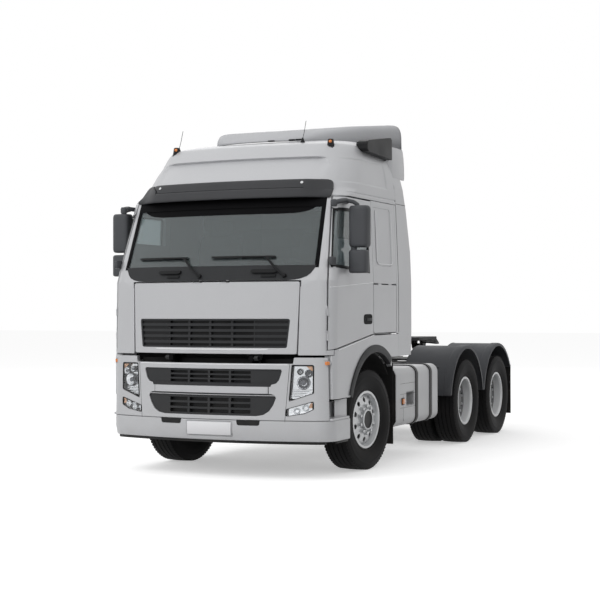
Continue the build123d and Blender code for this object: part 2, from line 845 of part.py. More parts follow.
def front_lamps():
    lamps = []
    for points in (headlamp_outline, fog_outline):
        lamp = bumper_skin(panel_rows, 3, bumper_wall) & front_prism(points, 900, 2000, 18, -0.5)
        lamps += [lamp, other_side(lamp)]
    return group(*lamps)


def entry_steps():
    step_x = bumper_end_x - 5
    step = block(skirt_end_x, step_x, 900, 1115, skirt_top_z + seat_gap, 755)
    step += block(skirt_end_x, step_x, 1100, bumper_half_width - 6, skirt_top_z + seat_gap, skirt_top_z + 25)
    step += block(980, 1040, rail_outer_y + seat_gap, 950, 730, 755)
    return both_sides(step)


def fifth_wheel_base():
    plate = block(fifth_x - 420, fifth_x + 420, -rail_outer_y, rail_outer_y, frame_top_z, frame_top_z + 20)
    wide = 160
    narrow = 45
    post = [
        (fifth_x - wide, frame_top_z),
        (fifth_x + wide, frame_top_z),
        (fifth_x + narrow, rock_z + 40),
        (fifth_x - narrow, rock_z + 40),
    ]
    for side in (-1, 1):
        plate += side_prism(post, side * 330 - 30, side * 330 + 30, 5)
    bore = across(fifth_x, rock_z, rock_pin_radius + pin_gap, -1000, 1000)
    return plate - bore


def fifth_wheel():
    half_l = fifth_length / 2
    half_w = fifth_width / 2
    points = [
        (fifth_x + half_l, half_w - 130),
        (fifth_x + half_l - 150, half_w),
        (fifth_x - half_l, half_w),
        (fifth_x - half_l, -half_w),
        (fifth_x + half_l - 150, -half_w),
        (fifth_x + half_l, -half_w + 130),
    ]
    plate = plan_prism(points, fifth_top_z - plate_thick, fifth_top_z, 40)
    throat = [
        (fifth_x, jaw_radius),
        (fifth_x - 180, jaw_radius),
        (fifth_x - half_l - 20, 210),
        (fifth_x - half_l - 20, -210),
        (fifth_x - 180, -jaw_radius),
        (fifth_x, -jaw_radius),
    ]
    plate -= plan_prism(throat, 1000, 2000)
    plate -= upright(fifth_x, 0, jaw_radius, 1000, 2000)
    under_z = fifth_top_z - plate_thick
    ramp_x = fifth_x - half_l
    ramp = [
        (ramp_x + 50, under_z),
        (ramp_x - 150, under_z - 55),
        (ramp_x - 150, under_z - 35),
        (ramp_x - 5, fifth_top_z - 4),
        (ramp_x + 50, fifth_top_z - 4),
    ]
    for side in (-1, 1):
        plate += side_prism(ramp, side * 325 - 85, side * 325 + 85)
    ear_z = rock_z - 30
    ear = [(fifth_x - 90, under_z), (fifth_x + 90, under_z), (fifth_x + 40, ear_z), (fifth_x - 40, ear_z)]
    for side in (-1, 1):
        for y in (side * 270, side * 390):
            plate += side_prism(ear, y - 20, y + 20, 5)
        plate += across(fifth_x, rock_z, rock_pin_radius, side * 330 - 75, side * 330 + 75)
    return plate


def rear_lamps():
    lamp = block(tail_x, tail_x + 34, 600, 960, 740, 850)
    lamp += block(tail_x, tail_x + 34, rail_inner_y, 620, 760, 830)
    lamp += block(tail_x + 20, tail_x + 60 - seat_gap, rail_inner_y, rail_outer_y, 760, 830)
    return both_sides(lamp)


def catwalk():
    deck = block(-2300, -1250, -rail_outer_y, rail_outer_y, frame_top_z, frame_top_z + 25)
    return deck


def cab_mounts():
    line = [
        (880, 770),
        (1030, 770),
        (1030, 930),
        (1190, 1120),
        (1240, 1165),
        (1292, 1165),
        (1292, 1214),
        (1230, 1214),
        (990, 980),
        (880, 980),
    ]
    bracket = side_prism(line, rail_outer_y + seat_gap, rail_outer_y + 45)
    bracket += across(pivot_x, pivot_z, pivot_pin_radius - pin_gap, rail_outer_y + 10, rail_outer_y + 100)
    strut = block(-590, -530, rail_outer_y + seat_gap, rail_outer_y + 80, 900, floor_z - seat_gap)
    return group(bracket, other_side(bracket), strut, other_side(strut))


nodes = {
    "frame_rails": frame_rails(),
    "frame_crossmembers": frame_crossmembers(),
    "engine": group(engine(), cooling_pack()),
    "front_axle": front_axle(),
    "leaf_springs": leaf_springs(),
    "rear_axles": rear_axles(),
    "propshafts": propshafts(),
    "fuel_tank": fuel_tank(),
    "tank_straps": tank_straps(),
    "silencer": silencer(),
    "rear_mudguards": rear_mudguards(),
    "mud_flaps": mud_flaps(),
    "bumper_panels": bumper_panels(),
    "lower_grilles": lower_grilles(),
    "front_lamps": front_lamps(),
    "entry_steps": entry_steps(),
    "fifth_wheel_base": fifth_wheel_base(),
    "fifth_wheel": fifth_wheel(),
    "rear_lamps": rear_lamps(),
    "catwalk": catwalk(),
    "chassis_brackets": group(bumper_beam(), cab_mounts()),
    "tie_rod": tie_rod(),
    "cab_floor": group(cab_floor(), pivot_arms()),
    "cab_sides": cab_sides(),
    "cab_back": cab_back(),
    "cab_roof": cab_roof(),
    "cab_front": cab_front(),
    "cab_fenders": cab_fenders(),
    "windscreen": windscreen(),
    "front_lid": front_lid(),
    "upper_grille": upper_grille(),
    "sun_visor": sun_visor(),
    "side_fairings": side_fairings(),
    "roof_deflector": roof_deflector(),
    "air_intake": air_intake(),
    "dashboard": dashboard(),
    "steering_wheel": steering_wheel(),
    "seats": seats(),
}

for name, side in (("left", 1), ("right", -1)):
    hand = (lambda shape: shape) if side > 0 else other_side
    nodes[f"door_{name}"] = hand(door())
    nodes[f"door_glass_{name}"] = hand(door_glass())
    nodes[f"mirror_{name}"] = hand(mirror_arm())
    nodes[f"locker_lid_{name}"] = hand(locker_lid())
    nodes[f"knuckle_{name}"] = steered(hand(knuckle()), side)
    nodes[f"tyre_front_{name}"] = front_wheel(tyre(), side)
    nodes[f"rim_front_{name}"] = front_wheel(front_rim(), side)
    for row, x in enumerate(drive_x, start=1):
        nodes[f"tyres_rear{row}_{name}"] = rear_wheel(twin_tyres(), x, side)
        nodes[f"rims_rear{row}_{name}"] = rear_wheel(rear_rims(), x, side)

os.makedirs("parts", exist_ok=True)
for name, shape in nodes.items():
    export_step(Pos(-middle_x, 0, 0) * shape, f"parts/{name}.step")
    print(name, len(shape.solids()))
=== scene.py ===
import json
import math
import bmesh
import bpy
from mathutils import Matrix, Vector

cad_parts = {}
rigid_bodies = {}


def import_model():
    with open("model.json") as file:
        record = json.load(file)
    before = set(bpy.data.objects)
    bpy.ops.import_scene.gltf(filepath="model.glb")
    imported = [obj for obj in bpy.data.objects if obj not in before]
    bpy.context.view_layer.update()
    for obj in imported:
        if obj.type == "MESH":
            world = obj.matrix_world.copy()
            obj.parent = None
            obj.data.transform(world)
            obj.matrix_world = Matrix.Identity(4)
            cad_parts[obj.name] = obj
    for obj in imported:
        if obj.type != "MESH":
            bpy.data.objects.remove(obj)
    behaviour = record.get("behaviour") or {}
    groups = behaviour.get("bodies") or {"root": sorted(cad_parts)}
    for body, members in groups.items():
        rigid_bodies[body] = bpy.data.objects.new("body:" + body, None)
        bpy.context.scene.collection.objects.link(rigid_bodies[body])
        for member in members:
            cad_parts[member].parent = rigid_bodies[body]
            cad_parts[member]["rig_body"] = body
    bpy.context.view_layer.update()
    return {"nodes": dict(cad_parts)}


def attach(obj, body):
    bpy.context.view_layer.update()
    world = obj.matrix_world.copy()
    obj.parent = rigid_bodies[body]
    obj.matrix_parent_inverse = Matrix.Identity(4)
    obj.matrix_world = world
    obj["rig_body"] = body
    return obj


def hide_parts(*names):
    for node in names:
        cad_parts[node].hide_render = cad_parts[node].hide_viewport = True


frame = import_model()
nodes = frame["nodes"]
scene = bpy.context.scene
print("frame loaded")

axleX = 1.925  # front axle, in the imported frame
axleZ = 0.522  # height of every axle, the radius of the tyres

# camera solved from the photo, metres from the front axle on the ground
cameraFit = {"place": (13.19267, 6.38901, 1.66119), "yaw": 24.4595, "pitch": 0.42027, "roll": -0.15214,
             "focalPixels": 1361.668, "pixels": 600, "sensor": 36}


def placeCamera(fit):
    yaw, pitch, roll = (math.radians(fit[key]) for key in ("yaw", "pitch", "roll"))
    ahead = Vector((-math.cos(yaw) * math.cos(pitch), -math.sin(yaw) * math.cos(pitch), math.sin(pitch)))
    right = ahead.cross(Vector((0, 0, 1))).normalized()
    up = right.cross(ahead)
    rightRolled = right * math.cos(roll) + up * math.sin(roll)
    upRolled = up * math.cos(roll) - right * math.sin(roll)
    data = bpy.data.cameras.new("photoCamera")
    data.sensor_width = fit["sensor"]
    data.lens = fit["focalPixels"] / fit["pixels"] * fit["sensor"]
    data.clip_end = 200
    camera = bpy.data.objects.new("photoCamera", data)
    turn = Matrix((rightRolled, upRolled, -ahead)).transposed().to_4x4()
    camera.matrix_world = Matrix.Translation(Vector(fit["place"]) + Vector((axleX, 0, 0))) @ turn
    scene.collection.objects.link(camera)
    scene.camera = camera


placeCamera(cameraFit)
scene.view_settings.view_transform = "Standard"


# shader groups shared by the finishes
def startGroup(name, inputs, outputs):
    tree = bpy.data.node_groups.new(name, "ShaderNodeTree")
    for label, kind, value in inputs:
        tree.interface.new_socket(label, in_out="INPUT", socket_type="NodeSocket" + kind).default_value = value
    for label, kind in outputs:
        tree.interface.new_socket(label, in_out="OUTPUT", socket_type="NodeSocket" + kind)
    return tree, tree.nodes.new("NodeGroupInput"), tree.nodes.new("NodeGroupOutput")


def addNode(tree, kind, links=None, values=None, **settings):
    node = tree.nodes.new(kind)
    for key, value in settings.items():
        setattr(node, key, value)
    for socket, value in (values or {}).items():
        node.inputs[socket].default_value = value
    for socket, output in (links or {}).items():
        tree.links.new(output, node.inputs[socket])
    return node


def endGroup(tree, result, outputs):
    for label, output in outputs.items():
        tree.links.new(output, result.inputs[label])
    return tree


def makeDustGroup():
    tree, source, result = startGroup(
        "roadDust",
        [("Color", "Color", (1, 1, 1, 1)), ("Dust Color", "Color", (0.3, 0.27, 0.23, 1)), ("Amount", "Float", 0.2),
         ("Scale", "Float", 6.0), ("Top", "Float", 1.2)],
        [("Color", "Color"), ("Mask", "Float")],
    )
    given = source.outputs
    place = addNode(tree, "ShaderNodeTexCoord").outputs["Object"]
    noise = addNode(tree, "ShaderNodeTexNoise", {"Vector": place, "Scale": given["Scale"]}, {"Detail": 5})
    split = addNode(tree, "ShaderNodeSeparateXYZ", {0: place})
    height = addNode(tree, "ShaderNodeMapRange", {"From Min": given["Top"], "Value": split.outputs["Z"]},
        {"From Max": 0.0})
    patch = addNode(tree, "ShaderNodeMapRange", {"Value": noise.outputs["Fac"]}, {"From Min": 0.35, "From Max": 0.75})
    both = addNode(tree, "ShaderNodeMath", {0: height.outputs[0], 1: patch.outputs[0]}, {2: 0.04},
        operation="MULTIPLY_ADD")
    mask = addNode(tree, "ShaderNodeMath", {0: both.outputs[0], 1: given["Amount"]}, operation="MULTIPLY")
    mix = addNode(tree, "ShaderNodeMix", data_type="RGBA")
    for socket, output in (("Factor", mask.outputs[0]), ("A", given["Color"]), ("B", given["Dust Color"])):
        tree.links.new(output, mix.inputs[socket])
    return endGroup(tree, result, {"Color": mix.outputs["Result"], "Mask": mask.outputs[0]})


def makeFlakeGroup():
    tree, source, result = startGroup(
        "paintFlake",
        [("Color", "Color", (0.6, 0.6, 0.6, 1)), ("Scale", "Float", 900.0), ("Amount", "Float", 0.1)],
        [("Color", "Color")],
    )
    given = source.outputs
    place = addNode(tree, "ShaderNodeTexCoord").outputs["Object"]
    cells = addNode(tree, "ShaderNodeTexVoronoi", {"Vector": place, "Scale": given["Scale"]})
    shade = addNode(tree, "ShaderNodeSeparateColor", {0: cells.outputs["Color"]})
    centred = addNode(tree, "ShaderNodeMath", {0: shade.outputs[0]}, {1: 2.0, 2: -1.0}, operation="MULTIPLY_ADD")
    gain = addNode(tree, "ShaderNodeMath", {0: centred.outputs[0], 1: given["Amount"]}, {2: 1.0},
        operation="MULTIPLY_ADD")
    mix = addNode(tree, "ShaderNodeVectorMath", operation="SCALE")
    tree.links.new(given["Color"], mix.inputs[0])
    tree.links.new(gain.outputs[0], mix.inputs["Scale"])
    return endGroup(tree, result, {"Color": mix.outputs[0]})


def makeGrainGroup():
    tree, source, result = startGroup(
        "mouldGrain",
        [("Scale", "Float", 400.0), ("Stretch", "Vector", (1, 1, 1)), ("Low Roughness", "Float", 0.4),
         ("High Roughness", "Float", 0.6)],
        [("Height", "Float"), ("Roughness", "Float")],
    )
    given = source.outputs
    place = addNode(tree, "ShaderNodeTexCoord").outputs["Object"]
    stretch = addNode(tree, "ShaderNodeVectorMath", {0: place, 1: given["Stretch"]}, operation="MULTIPLY")
    fine = addNode(tree, "ShaderNodeTexNoise", {"Vector": stretch.outputs[0], "Scale": given["Scale"]}, {"Detail": 3})
    broad = addNode(tree, "ShaderNodeTexNoise", {"Vector": place}, {"Scale": 3.0, "Detail": 4})
    rough = addNode(tree, "ShaderNodeMapRange", {
        "Value": broad.outputs["Fac"], "To Min": given["Low Roughness"], "To Max": given["High Roughness"],
    }, {"From Min": 0.3, "From Max": 0.7})
    return endGroup(tree, result, {"Height": fine.outputs["Fac"], "Roughness": rough.outputs[0]})


dustGroup, flakeGroup, grainGroup = makeDustGroup(), makeFlakeGroup(), makeGrainGroup()

# every finish on the truck: colour, metal share, roughness range, grain scale and depth, dust
finishes = {
    "silverPaint": {"color": (0.50, 0.505, 0.52), "metallic": 0.3, "rough": (0.40, 0.48), "flake": 0.07, "coat": 0.2,
        "dust": 0.12},
    "deflectorPaint": {"color": (0.44, 0.445, 0.46), "rough": (0.55, 0.65), "specular": 0.05, "flake": 0.07,
        "dust": 0.05},
    "darkPlastic": {"color": (0.024, 0.025, 0.027), "rough": (0.5, 0.65), "specular": 0.25, "grain": (500, 0.25),
        "dust": 0.10},
    "visorPlastic": {"color": (0.040, 0.041, 0.044), "rough": (0.45, 0.6), "specular": 0.25, "grain": (500, 0.2),
        "dust": 0.04},
    "grillePlastic": {"color": (0.009, 0.0095, 0.0105), "rough": (0.4, 0.55), "specular": 0.2, "grain": (300, 0.1),
        "dust": 0.08},
    # near-black for seals and frit, also painted shade in the visor groove, the hand holes and under the visor
    "fritBlack": {"color": (0.004, 0.004, 0.0045), "rough": (0.5, 0.6), "specular": 0.06, "grain": (300, 0.05),
        "dust": 0.0},
    "framePaint": {"color": (0.014, 0.014, 0.0155), "rough": (0.45, 0.6), "specular": 0.25, "grain": (120, 0.15),
        "dust": 0.16},
    "castSteel": {"color": (0.04, 0.04, 0.043), "metallic": 0.3, "rough": (0.5, 0.7), "specular": 0.3,
        "grain": (160, 0.4), "dust": 0.25},
    "tyreRubber": {"color": (0.008, 0.008, 0.0088), "rough": (0.65, 0.8), "specular": 0.15, "grain": (220, 0.3),
        "dust": 0.04},
    "rimMetal": {"color": (0.60, 0.61, 0.62), "metallic": 0.5, "rough": (0.3, 0.42), "grain": (90, 0.04), "dust": 0.10},
    "dishMetal": {"color": (0.13, 0.132, 0.136), "metallic": 0.3, "rough": (0.4, 0.55), "grain": (90, 0.04),
        "dust": 0.12},
    # lighter silver for thin beads along edges and creases, a painted highlight
    "edgeSilver": {"color": (0.74, 0.745, 0.76), "metallic": 0.2, "rough": (0.35, 0.42), "coat": 0.2, "dust": 0.05},
    # lighter copy of the rim silver for the rear rims, painted light against the shade of the arches
    "rimPale": {"color": (0.80, 0.81, 0.82), "metallic": 0.2, "rough": (0.42, 0.55), "grain": (90, 0.04), "dust": 0.12},
    "brightMetal": {"color": (0.68, 0.69, 0.70), "metallic": 1.0, "rough": (0.10, 0.18), "dust": 0.04},
    "tankMetal": {"color": (0.45, 0.455, 0.465), "metallic": 0.35, "rough": (0.38, 0.5), "grain": (60, 0.03),
        "dust": 0.12},
    "platePaint": {"color": (0.80, 0.80, 0.82), "rough": (0.4, 0.5), "grain": (80, 0.05), "dust": 0.03},
    "cabinTrim": {"color": (0.045, 0.046, 0.047), "rough": (0.55, 0.75), "specular": 0.3, "grain": (420, 0.3),
        "dust": 0.0},
    # lining inside the cab made near-black, painted shade for the dim cab
    "cabinPale": {"color": (0.050, 0.053, 0.053), "rough": (0.7, 0.85), "specular": 0.2, "grain": (420, 0.2),
        "dust": 0.0},
    "seatCloth": {"color": (0.045, 0.047, 0.051), "rough": (0.8, 0.95), "specular": 0.2, "grain": (700, 0.6),
        "stretch": (1, 1, 0.4), "sheen": 0.2, "dust": 0.0},
    "rubberFlap": {"color": (0.012, 0.012, 0.0125), "rough": (0.65, 0.8), "specular": 0.2, "grain": (260, 0.3),
        "dust": 0.14},
    "amberLens": {"color": (0.75, 0.22, 0.03), "rough": (0.1, 0.16), "coat": 0.6, "dust": 0.03},
    "redLens": {"color": (0.45, 0.012, 0.012), "rough": (0.1, 0.16), "coat": 0.6, "dust": 0.05},
    "whiteLens": {"color": (0.72, 0.73, 0.74), "rough": (0.1, 0.16), "coat": 0.6, "dust": 0.03},
    "amberPale": {"color": (0.78, 0.40, 0.20), "rough": (0.1, 0.16), "coat": 0.6, "dust": 0.0},
    "grilleGrey": {"color": (0.026, 0.027, 0.029), "rough": (0.4, 0.55), "specular": 0.25, "grain": (400, 0.15),
        "dust": 0.06},
    "lampDark": {"color": (0.06, 0.065, 0.08), "metallic": 0.6, "rough": (0.05, 0.1), "coat": 1.0, "dust": 0.0},
    "guardPlastic": {"color": (0.066, 0.069, 0.076), "rough": (0.55, 0.7), "specular": 0.25, "grain": (320, 0.3),
        "dust": 0.12},
    "mirrorPlastic": {"color": (0.066, 0.069, 0.075), "rough": (0.45, 0.6), "specular": 0.3, "grain": (500, 0.2),
        "dust": 0.05},
    "mirrorFace": {"color": (0.85, 0.86, 0.87), "metallic": 1.0, "rough": (0.02, 0.04), "dust": 0.02},
}

# glass: tint and how clear
glasses = {
    "cabGlass": {"tint": (0.45, 0.51, 0.52), "rough": 0.02, "clear": 0.86},
    "lampGlass": {"tint": (0.96, 0.97, 0.98), "rough": 0.02, "clear": 1.0},
}
materials = {}


def groupNode(tree, group, values):
    node = tree.nodes.new("ShaderNodeGroup")
    node.node_tree = group
    for key, value in values.items():
        node.inputs[key].default_value = value
    return node


def startMaterial(name):
    materials[name] = bpy.data.materials.new(name)
    materials[name].use_nodes = True
    return materials[name].node_tree, materials[name].node_tree.nodes["Principled BSDF"]


def setInputs(shader, values):
    for label, value in values.items():
        shader.inputs[label].default_value = value


def makeFinish(name, look):
    tree, shader = startMaterial(name)
    color = (*look["color"], 1)
    dust = groupNode(tree, dustGroup, {"Color": color, "Amount": look.get("dust", 0.1)})
    if "flake" in look:
        flake = groupNode(tree, flakeGroup, {"Color": color, "Amount": look["flake"]})
        tree.links.new(flake.outputs["Color"], dust.inputs["Color"])
    tree.links.new(dust.outputs["Color"], shader.inputs["Base Color"])
    scale, depth = look.get("grain", (40, 0.02))
    low, high = look["rough"]
    values = {"Scale": scale, "Stretch": look.get("stretch", (1, 1, 1)), "Low Roughness": low, "High Roughness": high}
    grain = groupNode(tree, grainGroup, values)
    tree.links.new(grain.outputs["Roughness"], shader.inputs["Roughness"])
    if "grain" in look:
        bump = addNode(tree, "ShaderNodeBump", {"Height": grain.outputs["Height"]},
            {"Strength": depth, "Distance": 0.001})
        tree.links.new(bump.outputs["Normal"], shader.inputs["Normal"])
    setInputs(shader, {
        "Metallic": look.get("metallic", 0.0), "Specular IOR Level": look.get("specular", 0.5),
        "Coat Weight": look.get("coat", 0.0), "Coat Roughness": 0.2, "Sheen Weight": look.get("sheen", 0.0),
    })


def makeGlass(name, look):
    shader = startMaterial(name)[1]
    setInputs(shader, {"Base Color": (*look["tint"], 1), "Roughness": look["rough"],
        "Transmission Weight": look["clear"], "IOR": 1.45})


for name, look in finishes.items():
    makeFinish(name, look)
for name, look in glasses.items():
    makeGlass(name, look)
print("finishes made", len(materials))

nodeFinish = {
    "silverPaint": ["cab_sides", "cab_back", "cab_roof", "cab_front", "cab_fenders", "side_fairings", "roof_deflector",
                    "front_lid", "door_left", "door_right", "locker_lid_left", "locker_lid_right", "bumper_panels",
                    "entry_steps"],
    "tankMetal": ["fuel_tank"],
    "fritBlack": ["chassis_brackets"],
    "framePaint": ["frame_rails", "frame_crossmembers", "catwalk", "tank_straps", "fifth_wheel_base", "propshafts"],
    "darkPlastic": ["sun_visor", "mirror_left", "mirror_right", "rear_mudguards", "air_intake"],
    "grillePlastic": ["upper_grille", "lower_grilles"],
    "cabGlass": ["windscreen", "door_glass_left", "door_glass_right"],
    "castSteel": ["engine", "front_axle", "rear_axles", "leaf_springs", "fifth_wheel", "silencer", "knuckle_left",
        "knuckle_right", "tie_rod"],
    "whiteLens": ["front_lamps"],
    "redLens": ["rear_lamps"],
    "rubberFlap": ["mud_flaps"],
    "cabinTrim": ["cab_floor", "dashboard", "steering_wheel"],
    "seatCloth": ["seats"],
}
for name in nodes:
    if name.startswith("tyre"):
        nodeFinish.setdefault("tyreRubber", []).append(name)
    if name.startswith("rim"):
        nodeFinish.setdefault("rimMetal", []).append(name)
for finish, names in nodeFinish.items():
    for name in names:
        data = nodes[name].data
        data.materials.clear()
        data.materials.append(materials[finish])
print("CAD nodes painted")

# mesh helpers; shapes are drawn in metres from the front axle and moved when a piece is made
# skins run as (z, front x, half width)
skins = {
    "cab": {"corner": 0.18, "rows": [
        (0.795, 1.338, 1.245), (1.95, 1.305, 1.245), (2.1, 1.248, 1.24), (2.76, 0.98, 1.214),
        (2.98, 0.85, 1.196), (3.22, 0.645, 1.15), (3.36, 0.5, 1.085), (3.43, 0.36, 0.99)]},
    "bumper": {"corner": 0.2, "rows": [
        (0.385, 1.322, 1.238), (0.48, 1.35, 1.238), (0.585, 1.348, 1.238), (1.2, 1.332, 1.238)]},
}
bow = 4.0  # radius of the cab front and the bumper in plan


def blendTable(rows, z):
    z = min(max(z, rows[0][0]), rows[-1][0])
    for low, high in zip(rows, rows[1:]):
        if z <= high[0]:
            share = (z - low[0]) / (high[0] - low[0])
            return [a + (b - a) * share for a, b in zip(low[1:], high[1:])]


def cornerShape(front, half, corner):
    # plan of a bowed front with round corners
    centreY = half - corner
    centreX = front - bow + math.sqrt((bow - corner) ** 2 - centreY ** 2)
    return front, half, corner, centreX, centreY


def shapeX(shape, y):
    front, half, corner, centreX, centreY = shape
    y = min(abs(y), half)
    if y <= centreY * bow / (bow - corner):
        return front - bow + math.sqrt(bow ** 2 - y ** 2)
    return centreX + math.sqrt(max(0.0, corner ** 2 - (y - centreY) ** 2))


def skinShape(skin, z, lift):
    front, half = blendTable(skins[skin]["rows"], z)
    return cornerShape(front + lift, half + lift, skins[skin]["corner"] + lift)


def skinX(skin, y, z, lift=0.0):
    return shapeX(skinShape(skin, z, lift), y)


def skinY(skin, x, z, lift=0.0):
    half, corner, centreX, centreY = skinShape(skin, z, lift)[1:]
    if x <= centreX:
        return half
    return centreY + math.sqrt(max(0.0, corner ** 2 - (x - centreX) ** 2))


# the roof's corners are wider than the pillars' between two heights, and its top edge draws in
roofShape = {"low": 2.8, "wider": (0.34, 2.78, 2.90), "tighter": (0.14, 3.2, 3.42), "edge": (3.36, 0.07, 0.15)}


def smoothStep(value, low, high):
    share = min(max((value - low) / (high - low), 0.0), 1.0)
    return share * share * (3 - 2 * share)


def roofRow(z):
    # cab front and half width at a height, eased through the measured rows
    rows = skins["cab"]["rows"]
    k = max(i for i in range(len(rows) - 1) if rows[i][0] <= z)
    a, b = rows[k], rows[k + 1]
    before, after = rows[max(k - 1, 0)], rows[min(k + 2, len(rows) - 1)]
    t = (z - a[0]) / (b[0] - a[0])
    values = []
    for axis in (1, 2):
        slopeA = (b[axis] - before[axis]) / (b[0] - before[0])
        slopeB = (after[axis] - a[axis]) / (after[0] - a[0])
        span = b[0] - a[0]
        values.append((2 * t ** 3 - 3 * t ** 2 + 1) * a[axis] + (t ** 3 - 2 * t ** 2 + t) * span * slopeA
                      + (3 * t ** 2 - 2 * t ** 3) * b[axis] + (t ** 3 - t ** 2) * span * slopeB)
    edge, height, drawn = roofShape["edge"]
    if z > edge:
        values[0] -= drawn * ((z - edge) / height) ** 2
    return values


def roofCorner(z, inset=0.0):
    front, half = roofRow(z)
    (wider, *widerSpan), (tighter, *tighterSpan) = roofShape["wider"], roofShape["tighter"]
    corner = skins["cab"]["corner"] + wider * smoothStep(z, *widerSpan) - tighter * smoothStep(z, *tighterSpan)
    return cornerShape(front - inset, half - inset, corner)


def roofX(y, z):
    return shapeX(roofCorner(max(z, roofShape["low"])), y)


def spread(start, end, count):
    return [start + (end - start) * step / count for step in range(count + 1)]


def strip(z, middle, half):
    return (z, middle - half, middle + half)


def bothWays(z, side, a, b):
    return (z, *sorted((side * a, side * b)))


def loftRings(bm, rings):
    rows = [[bm.verts.new(point) for point in ring] for ring in rings]
    for a, b in zip(rows, rows[1:]):
        for i in range(len(a)):
            j = (i + 1) % len(a)
            bm.faces.new((a[i], a[j], b[j], b[i]))
    bm.faces.new(rows[0][::-1])
    bm.faces.new(rows[-1])


def addBox(bm, low, high, bevel=0.0, segments=2):
    low, high = Vector(low), Vector(high)
    place = Matrix.Translation((low + high) / 2) @ Matrix.Diagonal((*(high - low), 1))
    made = bmesh.ops.create_cube(bm, size=1, matrix=place)
    if bevel:
        edges = list({edge for vert in made["verts"] for edge in vert.link_edges})
        bmesh.ops.bevel(bm, geom=edges, offset=bevel, segments=segments, affect="EDGES", profile=0.5)


def addTube(bm, points, radius, sides=12):
    points = [Vector(point) for point in points]
    rings = []
    side = None
    for i, point in enumerate(points):
        ahead = (points[min(i + 1, len(points) - 1)] - points[max(i - 1, 0)]).normalized()
        if side is None:
            side = ahead.orthogonal().normalized()
        side = (side - ahead * side.dot(ahead)).normalized()
        other = ahead.cross(side)
        turns = [2 * math.pi * k / sides for k in range(sides)]
        rings.append([point + (side * math.cos(t) + other * math.sin(t)) * radius for t in turns])
    loftRings(bm, rings)


def addTurned(bm, profile, place, steps=48):
    # profile runs as (distance along z, radius); a radius of 0 closes the form
    rings = []
    for turn in range(steps):
        t = 2 * math.pi * turn / steps
        rings.append([place @ Vector((r * math.cos(t), r * math.sin(t), along)) for along, r in profile])
    rows = [[bm.verts.new(point) for point in ring] for ring in rings]
    for a, b in zip(rows, rows[1:] + rows[:1]):
        for i in range(len(profile) - 1):
            bm.faces.new((a[i], a[i + 1], b[i + 1], b[i]))


def facing(place, axis):
    return Matrix.Translation(place) @ Vector(axis).to_track_quat("Z", "X").to_matrix().to_4x4()


def addSlab(bm, outer, inner):
    # closed slab between two equal grids of points
    grids = [[[bm.verts.new(point) for point in row] for row in grid] for grid in (outer, inner)]
    rows, columns = len(outer), len(outer[0])
    for r in range(rows - 1):
        for c in range(columns - 1):
            for grid in grids:
                bm.faces.new((grid[r][c], grid[r][c + 1], grid[r + 1][c + 1], grid[r + 1][c]))
    a, b = grids
    rim = [(0, c) for c in range(columns)] + [(r, columns - 1) for r in range(1, rows)]
    rim += [(rows - 1, c) for c in range(columns - 2, -1, -1)] + [(r, 0) for r in range(rows - 2, 0, -1)]
    for (r0, c0), (r1, c1) in zip(rim, rim[1:] + rim[:1]):
        bm.faces.new((a[r0][c0], a[r1][c1], b[r1][c1], b[r0][c0]))


def frontPatch(bm, skin, levels, lift, depth, columns=24):
    # levels run as (z, y from, y to) up the front of the cab or bumper
    outer, inner = [], []
    for z, y0, y1 in levels:
        outer.append([(skinX(skin, y, z, lift), y, z) for y in spread(y0, y1, columns)])
        inner.append([(skinX(skin, y, z, lift - depth), y, z) for y in spread(y0, y1, columns)])
    addSlab(bm, outer, inner)


def sidePatch(bm, skin, levels, lift, depth, columns=12):
    # levels run as (z, x from, x to) up the left side
    outer, inner = [], []
    for z, x0, x1 in levels:
        outer.append([(x, skinY(skin, x, z, lift), z) for x in spread(x0, x1, columns)])
        inner.append([(x, skinY(skin, x, z, lift) - depth, z) for x in spread(x0, x1, columns)])
    addSlab(bm, outer, inner)


def mirrored(bm):
    made = bmesh.ops.duplicate(bm, geom=bm.verts[:] + bm.edges[:] + bm.faces[:])["geom"]
    for vert in made:
        if isinstance(vert, bmesh.types.BMVert):
            vert.co.y = -vert.co.y
    bmesh.ops.reverse_faces(bm, faces=[face for face in made if isinstance(face, bmesh.types.BMFace)])


def makePiece(name, bm, body, finish, slot, replaced=(), bevel=0.0, smooth=40, flip=False, weld=True):
    if flip:
        for vert in bm.verts:
            vert.co.y = -vert.co.y
    if weld:
        bmesh.ops.remove_doubles(bm, verts=bm.verts, dist=1e-5)
    bmesh.ops.recalc_face_normals(bm, faces=bm.faces)
    bmesh.ops.translate(bm, verts=bm.verts, vec=(axleX, 0, 0))
    mesh = bpy.data.meshes.new(name)
    bm.to_mesh(mesh)
    bm.free()
    return placeMesh(name, mesh, body, finish, replaced, bevel, smooth)


def placeMesh(name, mesh, body, finish, replaced=(), bevel=0.0, smooth=40):
    mesh.name = name
    mesh.materials.clear()
    mesh.materials.append(materials[finish])
    piece = bpy.data.objects.new(name, mesh)
    scene.collection.objects.link(piece)
    if bevel:
        rounding = piece.modifiers.new("edges", "BEVEL")
        rounding.width = bevel
        rounding.segments = 2
        rounding.limit_method = "ANGLE"
        rounding.angle_limit = math.radians(40)
        rounding.harden_normals = False
        settled = bpy.data.meshes.new_from_object(piece.evaluated_get(bpy.context.evaluated_depsgraph_get()))
        piece.modifiers.clear()
        piece.data = settled
        settled.name = name
    piece.data.shade_smooth()
    piece.data.set_sharp_from_angle(angle=math.radians(smooth))
    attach(piece, body)
    if replaced:
        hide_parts(*replaced)
    return piece


# pieces made of one kind of part; both=True adds the right side
def fillPiece(name, body, finish, slot, add, parts, both=False, **more):
    bm = bmesh.new()
    for part in parts:
        add(bm, *part)
    if both:
        mirrored(bm)
    return makePiece(name, bm, body, finish, slot, **more)


